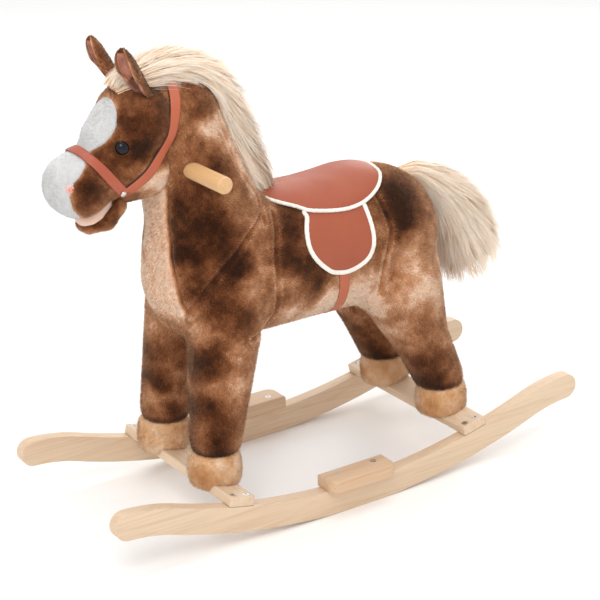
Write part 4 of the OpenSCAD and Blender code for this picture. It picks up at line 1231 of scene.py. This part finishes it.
def make_mane(core, shades):
    root = smooth_path([(0, y, z) for y, z in MANE_ROOT], 24)
    edge = smooth_path([(0, y, z) for y, z in MANE_EDGE], 24)
    width = along(np.array([[26.0], [32], [36], [37], [36], [33], [29], [22], [14]]), np.linspace(0, 1, 24))
    side = width * np.array([1.0, 0, 0])

    def core_field(p):
        best = np.full(len(p), 1e9)
        for i in range(0, 23, 2):
            j = min(i + 2, 23)
            a, b = root[i] * 0.84 + edge[i] * 0.16, root[j] * 0.84 + edge[j] * 0.16
            ra, rb = (0.26 * np.linalg.norm(edge[k] - root[k]) for k in (i, j))
            best = soft_min(best, cone(p * (0.7, 1, 1), a, ra, b, rb), 8)
        return best
    piece = hair_core("mane_core", core_field, (-44, -262, 416), (44, -30, 640), core)
    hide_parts("mane")
    out = edge - root
    locks("mane_hair_inner", root, out, side, 8000, 401, shades[:5], (-0.1, 0.94), (0.14, 0.24),
          math.pi * 0.54, (0.5, 0.98), 1.3, 6, 260, 6, 0.05)
    locks("mane_hair_outer", root, out, side, 9000, 402, shades[1:], (-0.14, 0.9), (0.13, 0.27),
          math.pi * 0.55, (0.7, 1.1), 1.0, 7, 240, 8, 0.3)
    fall = np.array([(0, -226, 604), (0, -240, 610), (0, -252, 611), (0, -263, 606), (0, -271, 597)], float)
    lift = np.array([(0, -4, 10), (0, -6, 15), (0, -8, 14), (0, -9, 9), (0, -6, 4)], float)
    wide = np.array([(17.0, 0, 0), (19, 0, 0), (18, 0, 0), (14, 0, 0), (9, 0, 0)])
    tuft = locks("forelock_hair", fall, lift, wide, 1900, 403, shades[1:], (0.0, 0.4), (0.4, 0.62),
                 math.pi * 0.9, (0.2, 1.0), 1.0, 6, 46, 3, 0.1)
    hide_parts("forelock")


# y and z along the tail's upper and lower outline
TAIL_TOP = ((164, 413), (194, 417), (238, 404), (278, 381), (311, 346), (332, 303), (338, 258))
TAIL_LOW = ((176, 392), (193, 380), (206, 350), (217, 312), (227, 276), (242, 244), (266, 218))


def make_tail(core, shades):
    evenly = np.linspace(0, 1, 28)
    top, low = (along(np.array([(0, y, z) for y, z in edge], float), evenly) for edge in (TAIL_TOP, TAIL_LOW))
    centre, out = (top + low) / 2, (top - low) / 2
    size = np.linalg.norm(out, axis=1, keepdims=True)
    side = size * 0.82 * np.array([[1.0, 0, 0]])

    def core_field(p):
        best = np.full(len(p), 1e9)
        for i in range(1, 20, 3):
            j = i + 3
            best = soft_min(best, cone(p, centre[i], float(size[i, 0]) * 0.5, centre[j],
                                       float(size[j, 0]) * (0.5 if j < 16 else 0.3)), 10)
        return best
    piece = hair_core("tail_core", core_field, (-56, 150, 200), (56, 352, 440), core, "tail")
    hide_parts("tail", "tail_shaft")
    locks("tail_hair_inner", centre, out, side, 7000, 411, shades[:5], (0.0, 0.72), (0.2, 0.34), math.pi,
          (0.55, 0.95), 1.3, 6, 260, 4, 0.04, body="tail")
    locks("tail_hair_outer", centre, out, side, 10000, 412, shades[1:], (-0.05, 0.64), (0.24, 0.46), math.pi,
          (0.72, 1.02), 1.0, 7, 300, 6, 0.24, body="tail")


# ---------- saddle ----------

BACK_R = 93.2
# Outlines of the seat's left half and of a flap: distance round the barrel from its top, and y
SEAT_EDGE = ((0, -71), (16, -72), (31, -68), (44, -55), (55, -39), (65, -25), (71, -5), (75, 17), (76, 36),
             (73, 57), (66, 75), (56, 91), (44, 103), (31, 111), (17, 113), (0, 114))
FLAP_EDGE = ((57, -22), (75, -34), (92, -42), (110, -45), (124, -42), (137, -34), (149, -22), (156, -12),
             (160, 2), (161, 14), (158, 30), (150, 46), (137, 56), (122, 60), (106, 61), (88, 61), (70, 61),
             (57, 60))


def on_back(s, y, lift):
    """Point at arc length s from the top of the barrel, y along it, lift above its skin."""
    a = s / 95.0
    r = BACK_R + lift
    return np.stack([r * np.sin(a), y + 0 * s, 330 + r * np.cos(a)], -1)


def disc(outline, rings):
    """Centre, rings and faces that fill a closed outline in two dimensions."""
    outline = np.asarray(outline, float)
    count = len(outline)
    middle = outline.mean(0)
    rho = np.concatenate([[0.0], np.linspace(0, 1, rings + 1)[1:] ** 0.9])
    flat = np.concatenate([[middle]] + [middle + (outline - middle) * r for r in rho[1:]])
    faces = [(0, 1 + i, 1 + (i + 1) % count) for i in range(count)]
    for k in range(rings - 1):
        a, b = 1 + k * count, 1 + (k + 1) * count
        faces += [(a + i, b + i, b + (i + 1) % count, a + (i + 1) % count) for i in range(count)]
    reach = np.concatenate([[0.0]] + [np.full(count, r) for r in rho[1:]])
    return flat, faces, reach


def inflate(piece, pinned, cap, pressure=4.0):
    """Swells a piece by cloth simulation, with some points pinned and none moving over cap millimetres."""
    before = np.array([v.co for v in piece.data.vertices])
    group = piece.vertex_groups.new(name="held")
    group.add([int(i) for i in pinned], 1.0, "REPLACE")
    cloth = piece.modifiers.new("cloth", "CLOTH")
    cloth.settings.vertex_group_mass = "held"
    cloth.settings.use_pressure = True
    cloth.settings.uniform_pressure_force = pressure
    cloth.settings.effector_weights.gravity = 0
    cloth.settings.quality = 5
    scene = bpy.context.scene
    for number in range(1, 21):
        scene.frame_set(number)
    shape = piece.evaluated_get(bpy.context.evaluated_depsgraph_get()).to_mesh()
    after = np.array([v.co for v in shape.vertices])
    piece.modifiers.remove(cloth)
    piece.vertex_groups.clear()
    scene.frame_set(1)
    move = after - before
    size = np.linalg.norm(move, axis=1, keepdims=True)
    after = before + move * np.minimum(1, cap * MM / np.maximum(size, 1e-9))
    piece.data.vertices.foreach_set("co", after.ravel())
    piece.data.update()


def doubled(faces, total, edge_count):
    """Faces of a disc of total points and of its copy below, joined round the edge, and the edge's points."""
    rim = list(range(total - edge_count, total))
    closed = faces + [tuple(v + total for v in f[::-1]) for f in faces]
    closed += [(a, a + total, b + total, b) for a, b in zip(rim, rim[1:] + rim[:1])]
    return closed, rim

def make_saddle():
    leather = leather_material("saddle_leather", srgb(169, 88, 60), srgb(155, 76, 51), 0.50)
    tack = leather_material("tack_leather", srgb(192, 104, 72), srgb(172, 86, 58), 0.44)
    binding = woven_material("white_binding", srgb(247, 243, 236), srgb(206, 196, 182))
    half = smooth_path(SEAT_EDGE, 40)
    outline = np.concatenate([half, (half * (-1, 1))[-2:0:-1]])
    flat, faces, reach = disc(outline, 11)
    top = np.interp(flat[:, 1], (-72, -33, 7, 42, 75, 100, 114), (6.0, 3.0, 1.4, 3.4, 7.6, 8.0, 4.4))
    crown = top * np.sqrt(np.clip(1 - reach ** 3.2, 0, 1)) * (1 - 0.30 * (flat[:, 0] / 84) ** 2)
    creases = 0.35 * lattice_noise(np.column_stack([flat, 0 * flat[:, 0]]), 14, 3) * (1 - reach)
    upper = on_back(flat[:, 0], flat[:, 1], 3.6 + crown + creases)
    lower = on_back(flat[:, 0], flat[:, 1], 2.4 + 0 * crown)
    n = len(flat)
    closed, rim = doubled(faces, n, len(outline))
    closed = [f[::-1] for f in closed]
    seat = build("seat_pad", np.concatenate([upper, lower]), closed, [leather], slot="tack_leather")
    face_outward(seat)
    inflate(seat, list(range(n, 2 * n)) + rim, 2.2)
    subdivided(seat)
    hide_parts("saddle_seat")
    ring = smooth_path(on_back(outline[:, 0], outline[:, 1], 3.3), 300, closed=True)
    points, tube_faces = tube(ring, 2.6, 12, closed=True)
    points = points + 0.25 * np.sin(np.arange(len(points)) // 12 * 1.3)[:, None] * unit(points - (0, 20, 330))
    build("seat_piping", points, tube_faces, [binding], slot="piping")

    for name, side in (("left", 1), ("right", -1)):
        edge = smooth_path(FLAP_EDGE, 84, closed=True)
        flat, faces, reach = disc(edge, 9)
        lift = 1.7 + 0.5 * lattice_noise(np.column_stack([flat, 0 * flat[:, 0]]), 30, 6) * reach
        skin = on_back(flat[:, 0], flat[:, 1], lift)
        under = on_back(flat[:, 0], flat[:, 1], lift - 1.5)
        closed, _ = doubled(faces, len(flat), len(edge))
        points = np.concatenate([skin, under]) * (side, 1, 1)
        flap = build("flap_" + name, points, closed if side < 0 else [f[::-1] for f in closed], [leather],
                     slot="tack_leather")
        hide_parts("saddle_flap_" + name)
        inward = unit(flat.mean(0) - edge)
        hidden = np.clip((69 - edge[:, 0]) / 8, 0, 1)
        band = on_back(edge[:, 0] + inward[:, 0] * 2.4, edge[:, 1] + inward[:, 1] * 2.4, 1.55 - 1.9 * hidden)
        band = band * (side, 1, 1)
        dense = smooth_path(band, 230, closed=True)
        up = unit(dense * (1, 0, 1) - np.array([0, 0, 330.0]))
        ripple = 0.18 * np.sin(np.arange(len(dense)) * 1.1) + 0.15 * np.sin(np.arange(len(dense)) * 2.7 + 1)
        points, tube_faces = tube(dense + ripple[:, None] * up, 1.75, 12, closed=True, flat=(up, 3.0))
        bind = build("flap_binding_" + name, points, tube_faces, [binding], slot="piping")
        if side > 0:
            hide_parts("saddle_piping")

    angle = np.linspace(math.radians(92), math.radians(268), 60)
    belly = np.stack([np.sin(angle) * 93.4, 0 * angle, 330 + np.cos(angle) * 93.4], 1)
    belly[:, 1] = 8 + np.clip(318 - belly[:, 2], 0, 60) * 0.17
    up = unit(belly * (1, 0, 1) - np.array([0, 0, 330.0]))
    points, faces = tube(belly, 1.1, 12, flat=(up, 7.6))
    strap = build("girth_band", points, faces, [tack], slot="tack_leather")
    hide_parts("girth_strap")
    return tack


# ---------- bridle ----------

def taut(path, field, rounds):
    """A strap's line pulled tight: it straightens, but nowhere sinks into the skin."""
    for _ in range(rounds):
        path[1:-1] = (path[:-2] + path[1:-1] * 2 + path[2:]) / 4
        path = path + unit(gradient(field, path)) * np.maximum(0.2 - field(path), 0)[:, None]
    return path


def over_head(p):
    return np.minimum(head(p), torso(p))


HEADSTALL = ((44, -284, 472), (46, -266, 483), (49, -247, 497), (51, -232, 515), (52, -220, 538),
             (50, -210, 562), (43, -204, 584), (28, -200, 601), (0, -198, 610))


def make_bridle(tack):
    # Painted shadow: a dark strip just under one side of the headstall shows as the shadow along its edge
    edge = leather_material("strap_painted_shadow", srgb(64, 44, 40), srgb(46, 32, 32), 0.7)
    line = np.array(HEADSTALL, float)
    line = np.concatenate([line, (line * (-1, 1, 1))[-2::-1]])
    path = taut(pull_to(over_head, smooth_path(line, 120), 3), over_head, 40)
    up = unit(gradient(over_head, path, 12.0))
    for _ in range(12):
        up[1:-1] = unit(up[:-2] + up[1:-1] * 2 + up[2:])
    points, faces = tube(path + up * 2.6, 1.15, 12, flat=(up, 6.4))
    strap = build("headstall_strap", points, faces, [tack], slot="tack_leather")
    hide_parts("headstall")
    run = unit(np.gradient(path, axis=0))
    across = np.cross(run, up)
    across = across * np.sign((across * (0, -1, -0.2)).sum(1, keepdims=True))
    # The dark strip sits lower than the strap and out to one side: painted shadow
    points, faces = tube(path + up * 1.3 + across * 0.9, 0.7, 8, flat=(up, 6.6))
    build("headstall_shadow_strip", points, faces, [edge], slot="tack_leather")

    low, high = np.array([0.0, -284, 474]), np.array([0.0, -325, 533])
    turn = np.linspace(-math.radians(97), math.radians(97), 90)
    around = low + np.outer(np.sin(turn) * 50, [1.0, 0, 0]) + np.outer(np.cos(turn), high - low)
    path = taut(pull_to(head, around, 5), head, 14)
    up = unit(gradient(head, path, 6.0))
    points, faces = tube(path + up * 2.4, 1.2, 12, flat=(up, 6.5))
    glossy = leather_material("noseband_leather", srgb(178, 92, 66), srgb(158, 74, 52), 0.3)
    band = build("noseband_strap", points, faces, [glossy], slot="tack_leather")
    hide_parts("noseband")

    metal = metal_material("rivet_nickel", srgb(226, 226, 222), 0.28)
    profile = [(4.1, -1.0), (4.1, 0.2), (3.7, 0.9), (2.6, 1.5), (1.2, 1.8), (0.3, 1.85)]
    for name, side in (("left", 1), ("right", -1)):
        spot = pull_to(head, np.array([[46.0 * side, -284, 474]]), 4)
        out = unit(gradient(head, spot, 5.0))[0]
        points, faces = lathe(spot[0] + out * 4.6, out, profile, 40)
        rivet = build("rivet_" + name, points, faces, [metal], slot="rivet")
        if side > 0:
            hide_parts("bridle_rivets")


place_camera()
set_stage()
make_wood()
make_fittings()
brown_plush = plush_material("brown_plush", COAT_STOPS, (1.0, 0.8, 0.62, 1), 0.1)
white_plush = plush_material("white_velour", ((0.0, srgb(178, 178, 178)), (0.5, srgb(197, 197, 197)),
                                              (1.0, srgb(213, 213, 213))), (1, 1, 1, 1), 0.06, 0.2)
cream_plush = plush_material("cream_plush", CREAM_STOPS, (1, 0.95, 0.88, 1), 0.1, 0.5)
velvet = plush_material("ear_velvet", ((0.0, srgb(74, 38, 30)), (0.5, srgb(168, 108, 88)),
                                       (1.0, srgb(206, 152, 130))), (1, 0.85, 0.8, 1), 0.12, 0.4)
lining_cloth = plush_material("lining_cloth", ((0.0, srgb(232, 196, 178)), (1.0, srgb(250, 226, 212))),
                              (1, 0.95, 0.92, 1), 0.08, 0.3)
fur_core = plush_material("fur_core", ((0.0, srgb(214, 164, 118)), (0.5, srgb(234, 200, 162)),
                                       (1.0, srgb(246, 226, 200))), (1, 0.95, 0.88, 1), 0.2, 0.2, 500.0)
coat_shades = shade_set("coat_hair", COAT_STOPS, 11)
cream_shades = shade_set("cream_hair", CREAM_STOPS, 6, tint=(1.0, 0.94, 0.86, 1))
white_shades = shade_set("white_hair", ((0.0, srgb(226, 225, 224)), (1.0, srgb(247, 247, 246))), 4, sheen=0.1,
                         tint=(1.0, 1.0, 1.0, 1))
long_shades = shade_set("long_hair", [(i / 5, srgb(*c)) for i, c in enumerate(HAIR_SHADES)], 6, 0.8, 0.0)
make_torso(brown_plush, coat_shades)
make_hoofs(cream_plush, cream_shades)
make_head(brown_plush, white_plush, coat_shades, white_shades)
make_jaw(brown_plush, coat_shades, lining_cloth)
make_ears(brown_plush, coat_shades, velvet)
make_face()
make_mane(fur_core, long_shades)
make_tail(fur_core, long_shades)
make_bridle(make_saddle())
